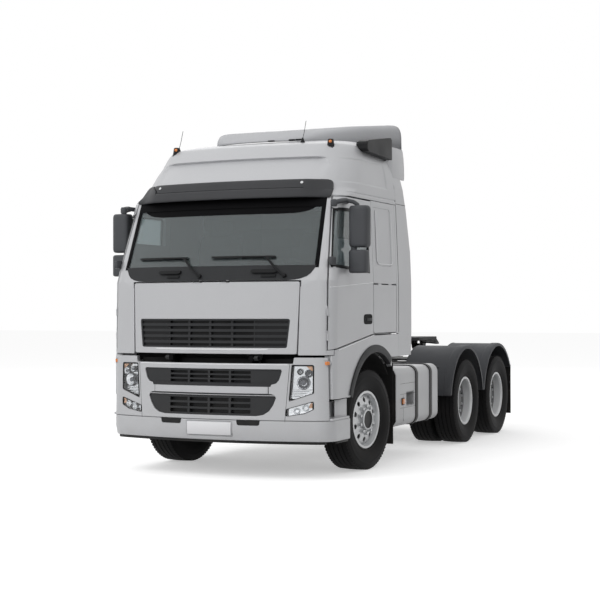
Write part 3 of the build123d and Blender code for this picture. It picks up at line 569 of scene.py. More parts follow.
# repeats: trees for rings of pegs and lugs, and for rows of pegs and bars
def startTree(name, inputs):
    tree = bpy.data.node_groups.new(name, "GeometryNodeTree")
    tree.interface.new_socket("Geometry", in_out="OUTPUT", socket_type="NodeSocketGeometry")
    for label, kind, value in inputs:
        socket = tree.interface.new_socket(label, in_out="INPUT", socket_type="NodeSocket" + kind)
        if value is not None:
            socket.default_value = value
    return tree, tree.nodes.new("NodeGroupInput"), tree.nodes.new("NodeGroupOutput")


def endTree(tree, source, result, points, shape, turn=None):
    spots = addNode(tree, "GeometryNodeInstanceOnPoints",
        {"Points": points.outputs["Mesh"], "Instance": shape.outputs["Mesh"]})
    if turn is not None:
        tree.links.new(turn, spots.inputs["Rotation"])
    real = addNode(tree, "GeometryNodeRealizeInstances", {0: spots.outputs["Instances"]})
    paint = addNode(tree, "GeometryNodeSetMaterial", {"Geometry": real.outputs[0],
        "Material": source.outputs["Material"]})
    tree.links.new(paint.outputs[0], result.inputs[0])
    return tree


def addCircle(tree, given):
    return addNode(tree, "GeometryNodeMeshCircle", {"Vertices": given["Count"], "Radius": given["Ring Radius"]})


def addLine(tree, given):
    return addNode(tree, "GeometryNodeMeshLine", {"Count": given["Count"], "Start Location": given["Start"],
        "Offset": given["Step"]})


def makeRingTree():
    tree, source, result = startTree("ringOfPegs", [
        ("Count", "Int", 10), ("Ring Radius", "Float", 0.16), ("Peg Radius", "Float", 0.016),
        ("Peg Height", "Float", 0.03), ("Peg Sides", "Int", 6), ("Material", "Material", None)])
    given = source.outputs
    peg = addNode(tree, "GeometryNodeMeshCylinder",
                  {"Vertices": given["Peg Sides"], "Radius": given["Peg Radius"], "Depth": given["Peg Height"]})
    return endTree(tree, source, result, addCircle(tree, given), peg)


def makeLugTree():
    tree, source, result = startTree("ringOfLugs", [
        ("Count", "Int", 60), ("Ring Radius", "Float", 0.51), ("Lug Size", "Vector", (0.02, 0.02, 0.02)),
        ("Material", "Material", None)])
    lug = addNode(tree, "GeometryNodeMeshCube", {"Size": source.outputs["Lug Size"]})
    place = addNode(tree, "GeometryNodeInputPosition")
    turn = addNode(tree, "FunctionNodeAlignRotationToVector", {"Vector": place.outputs[0]}, axis="X")
    return endTree(tree, source, result, addCircle(tree, source.outputs), lug, turn.outputs[0])


def makeRowTree():
    tree, source, result = startTree("rowOfPegs", [
        ("Count", "Int", 10), ("Start", "Vector", (0, 0, 0)), ("Step", "Vector", (0.1, 0, 0)),
        ("Peg Radius", "Float", 0.01), ("Peg Height", "Float", 0.01), ("Peg Turn", "Vector", (0, 0, 0)),
        ("Material", "Material", None)])
    given = source.outputs
    peg = addNode(tree, "GeometryNodeMeshCylinder", {"Radius": given["Peg Radius"], "Depth": given["Peg Height"]},
        {"Vertices": 8})
    return endTree(tree, source, result, addLine(tree, given), peg, given["Peg Turn"])


def makeBarTree():
    tree, source, result = startTree("rowOfBars", [
        ("Count", "Int", 4), ("Start", "Vector", (0, 0, 0)), ("Step", "Vector", (0, 0, 0.05)),
        ("Bar Size", "Vector", (0.02, 1, 0.01)), ("Material", "Material", None)])
    bar = addNode(tree, "GeometryNodeMeshCube", {"Size": source.outputs["Bar Size"]})
    return endTree(tree, source, result, addLine(tree, source.outputs), bar)


ringTree, lugTree, rowTree, barTree = makeRingTree(), makeLugTree(), makeRowTree(), makeBarTree()


def runTree(tree, values):
    holder = bpy.data.objects.new("repeatHolder", bpy.data.meshes.new("repeatHolder"))
    scene.collection.objects.link(holder)
    modifier = holder.modifiers.new("repeat", "NODES")
    modifier.node_group = tree
    for item in tree.interface.items_tree:
        if item.in_out == "INPUT" and item.name in values:
            modifier[item.identifier] = values[item.name]
    settled = bpy.data.meshes.new_from_object(holder.evaluated_get(bpy.context.evaluated_depsgraph_get()))
    holder.modifiers.clear()
    bpy.data.objects.remove(holder)
    return settled


def addMesh(bm, mesh, place=None):
    if place is not None:
        mesh.transform(place)
    bm.from_mesh(mesh)
    bpy.data.meshes.remove(mesh)


def addRepeat(bm, tree, finish, sizes, place=None):
    addMesh(bm, runTree(tree, {**sizes, "Material": materials[finish]}), place)


# a CAD node copied with welded corners and rounded edges, so that it takes highlights
softLook = {"weld": 2e-5, "hingeClear": 0.075, "sharp": 35}


def softNode(name, finish, bevel=0.004, smooth=38, keepOff=()):
    bm = bmesh.new()
    bm.from_mesh(nodes[name].data)
    bmesh.ops.remove_doubles(bm, verts=bm.verts, dist=softLook["weld"])
    if bevel:
        sharp = []
        for edge in bm.edges:
            middle = (edge.verts[0].co + edge.verts[1].co) / 2 - Vector((axleX, 0, 0))
            middle.y = abs(middle.y)
            if any((middle - Vector(spot)).length < softLook["hingeClear"] for spot in keepOff):
                continue
            if len(edge.link_faces) == 2 and edge.calc_face_angle(0) > math.radians(softLook["sharp"]):
                sharp.append(edge)
        bmesh.ops.bevel(bm, geom=sharp, offset=bevel, segments=2, affect="EDGES", profile=0.5, clamp_overlap=False)
    mesh = bpy.data.meshes.new(name + "Skin")
    bm.to_mesh(mesh)
    bm.free()
    piece = placeMesh(name + "Skin", mesh, nodes[name]["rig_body"], finish, (name,), 0.0, smooth)
    normals = piece.modifiers.new("flatFaces", "WEIGHTED_NORMAL")
    normals.keep_sharp = True


print("helpers ready")

# front of the cab
windscreenLook = {
    "edgeLow": 1.062, "edgeHigh": 1.036, "low": 2.085, "high": 2.745, "seal": 0.010, "cover": 0.03, "band": 0.06,
    "shade": [(2.618, 0.62), (2.621, 0.75), (2.630, 0.84), (2.644, 0.90), (2.665, 0.945), (2.695, 0.985),
        (2.744, 1.015)],
}


def screenEdge(z):
    share = (z - windscreenLook["low"]) / (windscreenLook["high"] - windscreenLook["low"])
    return windscreenLook["edgeLow"] + (windscreenLook["edgeHigh"] - windscreenLook["edgeLow"]) * share


def makeWindscreenTrim(look):
    top, cover = look["high"], look["cover"]
    patches = []
    for side in (-1, 1):
        heights = spread(look["low"] - 0.01, top + 0.012, 14)
        levels = [bothWays(z, side, screenEdge(z) - look["seal"], screenEdge(z) + cover) for z in heights]
        patches.append(("cab", levels, 0.002, 0.008, 3))
    # top band in near-black: frit, and painted shadow under the visor
    levels = [strip(z, 0, screenEdge(z) + cover) for z in (top - look["band"], top + 0.02, top + 0.054)]
    patches.append(("cab", levels, 0.003, 0.008, 40))
    fillPiece("windscreenSeal", "cab", "fritBlack", "rubber", frontPatch, patches)
    # near-black band on the glass under the visor: frit, and the visor's painted shadow
    levels = [strip(z, 0, half) for z, half in look["shade"]]
    fillPiece("screenShade", "cab", "fritBlack", "rubber", frontPatch, [("cab", levels, -0.0066, 0.001, 40)])


lidHinges = {"x": 1.302, "z": 1.944, "ys": (-0.15, 0.15)}
cowlLook = {
    "levels": [(1.951, 0.80), (1.958, 0.88), (1.970, 0.94), (1.99, 0.99), (2.02, 1.025), (2.06, 1.05), (2.10, 1.072)],
    "ledges": (-0.48, 0.57), "ledgeWidth": 0.27,
    "ledgeRows": [(2.026, 0.8), (2.036, 1.0), (2.054, 1.0), (2.062, 0.85)],
}


def makeCowl(look):
    levels = [strip(z, 0, half) for z, half in look["levels"]]
    fillPiece("windscreenCowl", "cab", "darkPlastic", "dark_plastic", frontPatch, [("cab", levels, 0.004, 0.012, 40)])
    bm = bmesh.new()
    half = look["ledgeWidth"] / 2
    for middle in look["ledges"]:
        frontPatch(bm, "cab", [strip(z, middle, half * share) for z, share in look["ledgeRows"]], 0.032, 0.03, 10)
        levels = [(z, middle - half * 0.2, middle + half * 0.9) for z in (1.985, 2.012)]
        frontPatch(bm, "cab", levels, 0.018, 0.016, 10)
    for y in lidHinges["ys"]:  # holders of the lid's hinge pins
        addTube(bm, [(lidHinges["x"], y + step, lidHinges["z"]) for step in (0.0355, 0.0645)], 0.0098, 14)
    makePiece("cowlLedges", bm, "cab", "grillePlastic", "dark_plastic", bevel=0.003)


# wipers: y of pivot, elbow, tip and heel
wiperLook = {"wipers": [(-0.121, -0.33, -0.904, -0.29), (0.774, 0.575, -0.019, 0.66)], "pivotZ": 1.995, "bladeZ": 2.185}


def makeWipers(look):
    def onGlass(y, z, lift):
        return Vector((skinX("cab", y, z, lift), y, z))

    bm = bmesh.new()
    low, high = look["pivotZ"], look["bladeZ"]
    cap = [(0, 0.0), (0, 0.024), (0.03, 0.022), (0.036, 0.0)]
    for pivot, elbow, tip, heel in look["wipers"]:
        addTurned(bm, cap, facing(onGlass(pivot, low, 0.0), (1, 0, 0.35)), 20)
        bend = onGlass(elbow, high, 0.034)
        addTube(bm, [onGlass(pivot, low, 0.028), onGlass((pivot + elbow) / 2, 2.08, 0.03), bend], 0.0115, 10)
        addTube(bm, [bend, onGlass((tip + heel) / 2, high + 0.004, 0.03)], 0.008, 8)
        frontPatch(bm, "cab", [(high - 0.009, tip, heel), (high + 0.011, tip + 0.01, heel - 0.01)], 0.022, 0.016, 16)
        frontPatch(bm, "cab", [(high - 0.003, tip, heel), (high + 0.004, tip, heel)], 0.006, 0.012, 16)
    makePiece("wipers", bm, "cab", "grillePlastic", "dark_plastic")


visorLook = {
    "low": (2.774, 1.117), "high": (2.968, 1.055), "bandTop": 2.872, "plateEnd": (0.84, 0.97), "bolt": (0.81, 2.928),
    "corner": 0.04, "sweep": (0.82, 1.12), "sweepBack": (0.035, 0.36, 2.79), "sweepIn": 0.059,
    "plateRows": [(2.842, 0.0), (2.92, 0.0), (2.95, -0.002), (2.963, -0.008), (2.968, -0.016)],
    "bandLow": [(0.0, -0.020), (0.005, -0.009), (0.014, -0.002), (0.03, 0.0)],
    "bandHigh": [(0.02, 0.0), (0.006, -0.002), (0.0, -0.007)],
    "endRows": [(2.857, 0.0), (2.89, 0.0), (2.91, 0.0), (2.93, 0.0), (2.95, -0.001), (2.962, -0.005), (2.968, -0.014)],
}


def visorX(y, z, lift):
    # follows the cab front, then sweeps back to the pillars at its ends
    share = smoothStep(abs(y), *visorLook["sweep"])
    back, rake, low = visorLook["sweepBack"]
    swept = skinX("cab", y, z, lift - visorLook["sweepIn"] * share) - (back + rake * (z - low)) * share
    return max(swept, roofX(y, z) + 0.3 * lift)


def visorPatch(bm, levels, lift, depth, columns):
    outer, inner = [], []
    for z, y0, y1, extra in levels:
        ys = spread(y0, y1, columns)
        outer.append([(visorX(y, z, lift + extra), y, z) for y in ys])
        inner.append([(visorX(y, z, lift - depth), y, z) for y in ys])
    addSlab(bm, outer, inner)


def makeVisor(look):
    (low, wideLow), (high, wideHigh), top, corner = look["low"], look["high"], look["bandTop"], look["corner"]

    def half(z):
        rounding = min(max(corner - min(z - low, high - z), 0.0) / corner, 1.0)
        return wideLow + (wideHigh - wideLow) * (z - low) / (high - low) - corner * (1 - math.sqrt(1 - rounding ** 2))

    bm = bmesh.new()
    visorPatch(bm, [(*strip(z, 0, half(z) - 0.03), extra) for z, extra in look["plateRows"]], 0.078, 0.018, 60)
    boltY, boltZ = look["bolt"]
    for side in (-1, 1):
        frontPatch(bm, "cab", [strip(z, side * boltY, 0.03) for z in (2.85, 2.95)], 0.062, 0.0617, 4)
    makePiece("sunVisor", bm, "cab", "visorPlastic", "dark_plastic", ("sun_visor",), smooth=50)
    band, groove, bolts = bmesh.new(), bmesh.new(), bmesh.new()
    rows = [(low + step, extra) for step, extra in look["bandLow"]]
    rows += [(top - step, extra) for step, extra in look["bandHigh"]]
    visorPatch(band, [(*strip(z, 0, half(z)), extra) for z, extra in rows], 0.100, 0.03, 72)
    inner, outer = look["plateEnd"]
    # black strip in the groove between plate and band, painted shade
    visorPatch(groove, [(*strip(z, 0, inner), 0.0) for z in (top - 0.004, top + 0.006)], 0.0795, 0.004, 48)
    bolt = [(0, 0.0), (0, 0.016), (0.006, 0.015), (0.009, 0.008), (0.009, 0.0)]
    for side in (-1, 1):  # the band runs up round both ends
        levels, line = [], []
        for z, extra in look["endRows"]:
            edge = inner + (outer - inner) * max((z - top) / (high - top), 0.0) ** 1.6
            levels.append((*bothWays(z, side, edge, half(z)), extra))
            line.append((*bothWays(z, side, edge - 0.008, edge), 0.0))
        visorPatch(band, levels, 0.100, 0.03, 16)
        visorPatch(groove, line[1:], 0.0795, 0.004, 2)
        spot = Vector((visorX(boltY, boltZ, 0.077), side * boltY, boltZ))
        addTurned(bolts, bolt, facing(spot, (1, 0.2 * side, 0.6)), 20)
    makePiece("visorBand", band, "cab", "visorPlastic", "dark_plastic", smooth=50, weld=False)
    makePiece("visorGroove", groove, "cab", "fritBlack", "rubber", weld=False)
    makePiece("visorBolts", bolts, "cab", "brightMetal", "rim")


lidLook = {"low": 1.292, "high": 1.575, "halfLow": 0.809, "halfHigh": 0.839, "slats": 4, "middle": 0.48, "rim": 0.016}


def makeUpperGrille(look):
    low, high, middle, rim = look["low"], look["high"], look["middle"], look["rim"]

    def half(z):
        return look["halfLow"] + (look["halfHigh"] - look["halfLow"]) * (z - low) / (high - low)

    def level(z, inset):
        return strip(z, 0, half(z) - inset)

    bm = bmesh.new()
    frontPatch(bm, "cab", [level(z, 0.001) for z in spread(low + 0.001, high - 0.001, 6)], -0.048, 0.006, 30)
    for side in (-1, 1):
        levels = [bothWays(z, side, half(z) - 0.012, middle) for z in spread(low + 0.012, high - 0.012, 6)]
        frontPatch(bm, "cab", levels, -0.022, 0.024, 10)
    makePiece("grilleBack", bm, "front_lid", "grillePlastic", "grille_plastic", weld=False)
    # slats in a lighter grey than the black back behind them: painted light on the slats, painted shade between them
    bm = bmesh.new()
    for row in range(look["slats"]):
        z = low + (high - low) / (look["slats"] + 1) * (row + 1)
        frontPatch(bm, "cab", [level(z + step, 0.004) for step in (-0.013, -0.004, 0.007, 0.013)], -0.012, 0.036, 36)
    for zs in ((low + 0.0005, low + rim), (high - rim, high - 0.0005)):
        frontPatch(bm, "cab", [level(z, 0.0006) for z in zs], -0.006, 0.042, 36)
    for side in (-1, 1):
        levels = [bothWays(z, side, half(z) - 0.0006, half(z) - rim) for z in spread(low + 0.0005, high - 0.0005, 6)]
        frontPatch(bm, "cab", levels, -0.006, 0.042, 3)
    for y in (-middle, -middle / 2, 0.0, middle / 2, middle):
        frontPatch(bm, "cab", [strip(z, y, 0.012) for z in (low + 0.01, high - 0.01)], -0.024, 0.022, 2)
    makePiece("grilleSlats", bm, "front_lid", "grilleGrey", "grille_plastic", ("upper_grille",))
    levels = [strip(low - drop, 0, wide) for drop, wide in ((0.022, 0.60), (0.016, 0.63), (0.009, 0.62))]
    fillPiece("grilleStrip", "front_lid", "brightMetal", "rim", frontPatch, [("cab", levels, 0.004, 0.006, 30)])
    pins = []
    for y in lidHinges["ys"]:
        line = [(lidHinges["x"], y + step, lidHinges["z"]) for step in spread(-0.034, 0.034, 4)]
        pins.append((line, 0.0078, 14))
    fillPiece("lidHingeCaps", "front_lid", "grillePlastic", "rubber", addTube, pins)


makeWindscreenTrim(windscreenLook)
makeCowl(cowlLook)
makeWipers(wiperLook)
makeVisor(visorLook)
makeUpperGrille(lidLook)
print("cab front dressed")

# bumper; lamp outlines run as (z, inner y, outer y), bowls as (y, z, radii of bowl, projector and edge)
lampLook = {
    "head": [(0.777, 0.837, 0.842), (0.80, 0.838, 0.905), (0.83, 0.8405, 0.995), (0.855, 0.843, 1.068),
             (0.88, 0.845, 1.074), (1.0, 0.853, 1.074), (1.1, 0.860, 1.074), (1.127, 0.863, 1.068)],
    "fog": [(0.634, 0.808, 0.83), (0.66, 0.807, 0.988), (0.70, 0.807, 1.072), (0.715, 0.85, 1.073),
            (0.745, 0.955, 1.073), (0.776, 1.055, 1.073)],
    "bowls": [(0.962, 0.955, 0.056, 0.024, 0.060), (1.012, 1.045, 0.034, 0.014, 0.037),
              (0.93, 1.062, 0.026, 0.009, 0.029)],
    "fogBowls": [(0.90, 0.682, 0.030), (0.985, 0.712, 0.032)],
    "fins": 5, "finStep": 0.016,
    "indicators": [[(1.075, 1.046, 1.062), (1.10, 1.012, 1.062), (1.116, 1.0, 1.062)],
                   [(0.712, 1.028, 1.062), (0.745, 1.03, 1.062), (0.764, 1.045, 1.062)]],
    "pod": [(1.118, 1.14, 1.126), (1.13, 1.11, 1.138), (1.15, 1.1, 1.14), (1.165, 1.12, 1.138), (1.172, 1.15, 1.126)],
    "repeater": [(1.126, 1.117, 1.139), (1.145, 1.115, 1.141), (1.163, 1.117, 1.139)],
}


def addRim(bm, levels, width, lift, depth):
    # narrow frame following a lamp's outline
    zHigh, a1, b1 = levels[-1]
    left = [(z, a, min(a + width, b)) for z, a, b in levels]
    right = [(z, max(b - width, a), b) for z, a, b in levels]
    frontPatch(bm, "bumper", left, lift, depth, 2)
    frontPatch(bm, "bumper", right, lift, depth, 2)
    inner = levels[-2][1] + (a1 - levels[-2][1]) * 0.7
    frontPatch(bm, "bumper", [(zHigh - width, inner, b1), (zHigh, a1, b1)], lift, depth, 8)


def lampCut(levels, inset):
    return [(z, a + inset, b - inset) for z, a, b in levels if b - a > 2 * inset + 0.004]


def lampSpot(y, z, lift=-0.048):
    return facing(Vector((skinX("bumper", y, z, lift), y, z)), (1, 0.25, 0))


def addBowl(bm, y, z, radius, depth, steps):
    bowl = [(0.0, 0.0), (0.002, radius * 0.5), (0.012, radius * 0.8), (depth, radius), (depth + 0.002, radius * 1.07),
            (0.0, radius * 1.1)]
    addTurned(bm, bowl, lampSpot(y, z), steps)


def makeLamps(look):
    outlines = (look["head"], look["fog"])
    for name, flip in (("Left", False), ("Right", True)):
        rims = [(outline, 0.010, 0.001, 0.05) for outline in outlines]
        fillPiece("lampRims" + name, "chassis", "grillePlastic", "dark_plastic", addRim, rims, flip=flip)
        bm, projectors, edges = bmesh.new(), bmesh.new(), bmesh.new()
        for outline in outlines:
            frontPatch(bm, "bumper", lampCut(outline, 0.004), -0.046, 0.012, 14)
        for row in range(look["fins"]):  # stepped reflector fins round the bowls
            z = 0.815 + row * look["finStep"]
            inner, outer = blendTable(look["head"], z)
            levels = [(height, inner + 0.012, outer - 0.014) for height in (z, z + 0.006)]
            frontPatch(bm, "bumper", levels, -0.02 - row * 0.003, 0.02, 6)
        for y, z, radius, projector, edge in look["bowls"]:
            addBowl(bm, y, z, radius, 0.034, 36)
            curve = [(0.012 + 0.022 * math.sin(t), projector * math.cos(t)) for t in spread(0, math.pi / 2, 6)]
            addTurned(projectors, [(0.0, projector)] + curve, lampSpot(y, z, -0.042), 28)
            ring = [(0.030, edge * 1.02), (0.0315, edge * 1.09), (0.0, edge * 1.12)]
            addTurned(edges, ring, lampSpot(y, z), 36)
        for y, z, radius in look["fogBowls"]:
            addBowl(bm, y, z, radius, 0.030, 30)
        makePiece("lampReflectors" + name, bm, "chassis", "brightMetal", "lamp", ("front_lamps",), flip=flip)
        makePiece("lampProjectors" + name, projectors, "chassis", "lampDark", "lamp", flip=flip)
        patches = [("bumper", levels, -0.014, 0.014, 6) for levels in look["indicators"]]
        fillPiece("lampIndicators" + name, "chassis", "amberPale", "lamp", frontPatch, patches, flip=flip)
        for row in range(look["fins"]):  # painted shade: dark strips under the fins
            z, outer = 0.822 + row * look["finStep"], 0.93 + row * 0.028
            levels = [(height, 0.862, outer) for height in (z, z + 0.0025)]
            frontPatch(edges, "bumper", levels, -0.0185 - row * 0.003, 0.01, 6)
        makePiece("lampEdges" + name, edges, "chassis", "lampDark", "lamp", flip=flip)
        patches = [("bumper", lampCut(outline, 0.002), -0.002, 0.003, 14) for outline in outlines]
        fillPiece("lampLenses" + name, "chassis", "lampGlass", "glass", frontPatch, patches, flip=flip)
        # side repeater on the bumper's corner
        pod, lens = [("bumper", look["pod"], 0.012, 0.04, 10)], [("bumper", look["repeater"], 0.016, 0.03, 4)]
        fillPiece("repeaterPod" + name, "chassis", "silverPaint", "paint", sidePatch, pod, flip=flip, bevel=0.006)
        fillPiece("repeaterLens" + name, "chassis", "amberLens", "lamp", sidePatch, lens, flip=flip, bevel=0.004)


bumperLook = {
    "barHalf": 0.632, "barLow": 0.848, "barHigh": 0.915,
    "plate": (-0.236, 0.251, 0.436, 0.561), "plateX": (1.327, 1.3478),
    "covers": (-0.429, 0.429), "coverRows": [(0.537, 0.10), (0.545, 0.115), (0.572, 0.12), (0.589, 0.12)],
    "edgeZ": 1.1285, "skirtZ": (0.358, 0.372, 0.395), "skirtY": 1.205,
    "sealGaps": [(-0.86, -0.535), (-0.41, 0.41), (0.535, 0.86)],
    "apronGaps": [(-1.0, -0.535), (-0.41, 0.41), (0.535, 1.0)],
}


def makeBumperTrim(look):
    def onBumper(name, finish, slot, patches, **more):
        fillPiece(name, "chassis", finish, slot, frontPatch, [("bumper", *patch) for patch in patches], **more)

    half, low, high = look["barHalf"], look["barLow"], look["barHigh"]
    screens = (((0.64, 0.82), 0.70), ((0.94, 1.08), 0.66))
    patches = [([strip(z, 0, wide) for z in zs], -0.0525, 0.004, 30) for zs, wide in screens]
    onBumper("grilleScreen", "grillePlastic", "grille_plastic", patches)
    rows = ((low, half - 0.006), (low + 0.008, half), (high - 0.008, half), (high, half - 0.006))
    onBumper("bumperBar", "silverPaint", "paint", [([strip(z, 0, wide) for z, wide in rows], 0.0068, 0.02, 36)],
        bevel=0.003)
    patches = [([strip(high + 0.001, 0, 0.655), strip(0.945, 0, 0.665)], 0.0012, 0.004, 36),
               ([strip(low - 0.014, 0, 0.70), strip(low - 0.001, 0, 0.66)], 0.0012, 0.004, 36)]
    for side in (-1, 1):
        patches.append(([strip(z, side * (half + 0.003), 0.003) for z in (low, high)], 0.0012, 0.004, 2))
    onBumper("barSurround", "grilleGrey", "grille_plastic", patches, weld=False)
    z = look["edgeZ"]  # rounded top edge of the bumper's middle, in a lighter silver as a painted highlight
    line = [(skinX("bumper", y, z, -0.003), y, z) for y in spread(-0.82, 0.82, 30)]
    fillPiece("bumperEdge", "chassis", "edgeSilver", "paint", addTube, [(line, 0.0065, 8)])
    bm = bmesh.new()
    (x0, x1), (y0, y1, z0, z1) = look["plateX"], look["plate"]
    addBox(bm, (x0, y0, z0), (x1, y1, z1), 0.003)
    for y in (y0 + 0.06, y1 - 0.06):
        screw = [(0, 0.0), (0, 0.006), (0.0002, 0.004), (0.0002, 0.0)]
        addTurned(bm, screw, facing((x1, y, z1 - 0.02), (1, 0, 0)), 12)
    makePiece("blankPlate", bm, "chassis", "platePaint", "paint")
    patches = [([strip(z, y, wide) for z, wide in look["coverRows"]], 0.0012, 0.02, 12) for y in look["covers"]]
    onBumper("towCovers", "grillePlastic", "dark_plastic", patches)
    patches = []
    for y, shift in ((-0.80, -0.03), (0.80, 0.03)):  # shut lines between the middle and the corners
        patches.append(([strip(0.40, y - shift, 0.002), strip(0.583, y, 0.002)], 0.0006, 0.003, 1))
        patches.append(([strip(0.59, y, 0.002), strip(1.135, y + shift * 1.4, 0.002)], 0.0006, 0.003, 1))
    onBumper("bumperShutLines", "grillePlastic", "rubber", patches)
    bm = bmesh.new()
    frontPatch(bm, "bumper", [strip(z, 0, 1.16) for z in look["skirtZ"]], -0.016, 0.02, 60)
    z0, z1 = look["skirtZ"][0], look["skirtZ"][-1]
    for side in (-1, 1):
        y = side * look["skirtY"]
        addBox(bm, (0.671, y - 0.01, z0), (0.96, y + 0.01, z1), 0.003)
    makePiece("skirtEdge", bm, "chassis", "grillePlastic", "dark_plastic")
    walls = [((0.572, 1.150, 0.55), (0.88, 1.160, 0.775), 0.004)]  # inner wall of the entry step
    fillPiece("stepWalls", "chassis", "silverPaint", "paint", addBox, walls, both=True)
    bm = bmesh.new()  # dark sheets under the lid, ahead of the cab pivots: painted shade in the gap
    frontPatch(bm, "bumper", [strip(z, 0, 0.86) for z in (1.05, 1.136)], -0.062, 0.004, 30)
    for y0, y1 in look["sealGaps"]:
        addBox(bm, (1.135, y0, 0.95), (1.145, y1, 1.184), 0.002)
    makePiece("bumperSeal", bm, "chassis", "rubberFlap", "rubber")
    # dark sheets behind the cab's front, painted shade seen through the gap under the lid
    boxes = [((1.035, y0, 1.15), (1.045, y1, 1.43), 0.002) for y0, y1 in look["apronGaps"]]
    boxes += [((0.93, y, 1.10), (0.94, y + 0.19, 1.43), 0.002) for y in (-0.57, 0.38)]
    fillPiece("cabApron", "cab", "rubberFlap", "rubber", addBox, boxes)


makeLamps(lampLook)
makeBumperTrim(bumperLook)
print("bumper dressed")

# sides of the cab
def sideStrip(bm, low, high, lift, depth):
    # strip on the left side between two lines of (x, z) points
    outer, inner = [], []
    for line in (low, high):
        outer.append([(x, skinY("cab", x, z, lift), z) for x, z in line])
        inner.append([(x, skinY("cab", x, z, lift) - depth, z) for x, z in line])
    addSlab(bm, outer, inner)


windowLook = {"rear": 0.15, "low": (2.045, 2.095), "span": 1.15, "high": 2.665, "frontLow": (1.96, 1.212),
              "frontHigh": (2.70, 1.135), "seal": 0.022, "tip": 0.008}


def windowFront(z):
    (z0, y0), (z1, y1) = windowLook["frontLow"], windowLook["frontHigh"]
    return skinX("cab", y0 + (y1 - y0) * (z - z0) / (z1 - z0), z)


def windowSill(x):
    low, high = windowLook["low"]
    return low + (high - low) * (x - windowLook["rear"]) / windowLook["span"]


doorLook = {
    "handle": (0.083, 0.315, 1.513, 1.617), "cup": [(1.236, 0.0), (1.2465, 0.0), (1.249, 0.004), (1.2482, 0.011)],
    "crease": (1.9425, 0.0577),
    "trim": [((0.12, 1.162, 1.52), (0.98, 1.1835, 2.02), 0.008), ((0.18, 1.09, 1.70), (0.66, 1.17, 1.75), 0.015),
             ((0.30, 1.10, 1.54), (0.92, 1.17, 1.64), 0.012)],
}


def cornerSize(t, power):
    # radius of a rounded square at an angle
    return (abs(math.cos(t)) ** power + abs(math.sin(t)) ** power) ** (-1 / power)


def onSide(line, lift):
    return [(x, skinY("cab", x, z, lift), z) for x, z in line]


def makeDoors(look, window):
    wide, tip, rear, top = window["seal"], window["tip"], window["rear"], window["high"]
    x0, x1, z0, z1 = look["handle"]
    for name, flip in (("left", False), ("right", True)):
        body = "door_" + name
        xs = spread(rear - tip, windowFront(2.09) + tip, 14)
        edges = [([(x, windowSill(x) - tip) for x in xs], [(x, windowSill(x) + wide) for x in xs])]
        xs = spread(rear - tip, windowFront(top) + tip, 14)
        edges.append(([(x, top - wide) for x in xs], [(x, top + tip) for x in xs]))
        zs = spread(windowSill(rear), top, 10)
        edges.append(([(rear - tip, z) for z in zs], [(rear + wide, z) for z in zs]))
        zs = spread(2.075, top, 14)
        edges.append(([(windowFront(z) - 0.006, z) for z in zs], [(windowFront(z) + 0.005, z) for z in zs]))
        strips = [(low, high, 0.003, 0.012) for low, high in edges]
        fillPiece("windowSeal_" + name, body, "grillePlastic", "rubber", sideStrip, strips, flip=flip)
        rings = []
        for y, inset in look["cup"]:
            halfX, halfZ = (x1 - x0) / 2 - inset, (z1 - z0) / 2 - inset
            ring = []
            for t in spread(0, 2 * math.pi, 40)[:-1]:
                size = cornerSize(t, 5)
                ring.append(((x0 + x1) / 2 + halfX * size * math.cos(t), y, (z0 + z1) / 2 + halfZ * size * math.sin(t)))
            rings.append(ring)
        fillPiece("handleCup_" + name, body, "fritBlack", "dark_plastic", loftRings, [(rings,)], flip=flip)
        bm = bmesh.new()
        addBox(bm, (x0 + 0.02, 1.246, z0 + 0.034), (x1 - 0.05, 1.2595, z0 + 0.064), 0.009, 3)
        lock = [(0, 0.0), (0, 0.013), (0.006, 0.012), (0.007, 0.0)]
        addTurned(bm, lock, facing((x1 - 0.028, 1.247, z0 + 0.05), (0, 1, 0)), 20)
        makePiece("doorHandle_" + name, bm, body, "darkPlastic", "dark_plastic", flip=flip)
        # crease on the door: a bead in a lighter silver, a painted highlight
        height, fall = look["crease"]
        line = onSide([(x, height - fall * (x - 0.05)) for x in spread(0.052, 1.09, 24)], -0.0022)
        fillPiece("doorCrease_" + name, body, "edgeSilver", "paint", addTube, [(line, 0.0048, 8)], flip=flip)
        fillPiece("doorTrim_" + name, body, "cabinTrim", "trim_inside", addBox, look["trim"], flip=flip)


# mirrors: housings as spans in x, y and z, arms as lines with a radius and a number of sides
mirrorLook = {
    "pods": [((0.652, 0.79), (1.262, 1.467), (2.278, 2.69)), ((0.68, 0.80), (1.264, 1.46), (2.024, 2.252))],
    "podRows": [(0, 0.66), (0.012, 0.82), (0.04, 0.94), (0.09, 1.0), (0.5, 1.0), (0.91, 1.0), (0.96, 0.94),
                (0.988, 0.82), (1, 0.66)],
    "arms": [
        ([(0.735, 1.31, 2.23), (0.735, 1.31, 2.30)], 0.03, 14),
        ([(0.80, 1.212, 2.735), (0.785, 1.245, 2.742), (0.75, 1.31, 2.728), (0.725, 1.345, 2.70), (0.72, 1.35, 2.66)],
            0.021, 14),
        ([(0.69, 1.222, 2.735), (0.70, 1.26, 2.738), (0.72, 1.32, 2.72)], 0.016, 12),
    ],
    "foot": ((0.67, 1.2145, 2.712), (0.83, 1.226, 2.758), 0.005),
    "reach": ([(0.975, 1.205, 2.708), (0.93, 1.225, 2.722), (0.86, 1.235, 2.735), (0.785, 1.25, 2.742)], 0.024, 14),
    "knuckle": [(-0.035, 0.0), (-0.035, 0.026), (-0.02, 0.034), (0.02, 0.034), (0.035, 0.026), (0.035, 0.0)],
    "knuckleAt": (0.97, 1.196, 2.706), "ramp": ((1.0, 1.105), (1.19, 1.238), (2.098, 2.178)),
    "glass": [((0.6485, 1.285, 2.31), (0.6525, 1.445, 2.655), 0.0012),
        ((0.6765, 1.287, 2.05), (0.6805, 1.437, 2.225), 0.0012)],
}


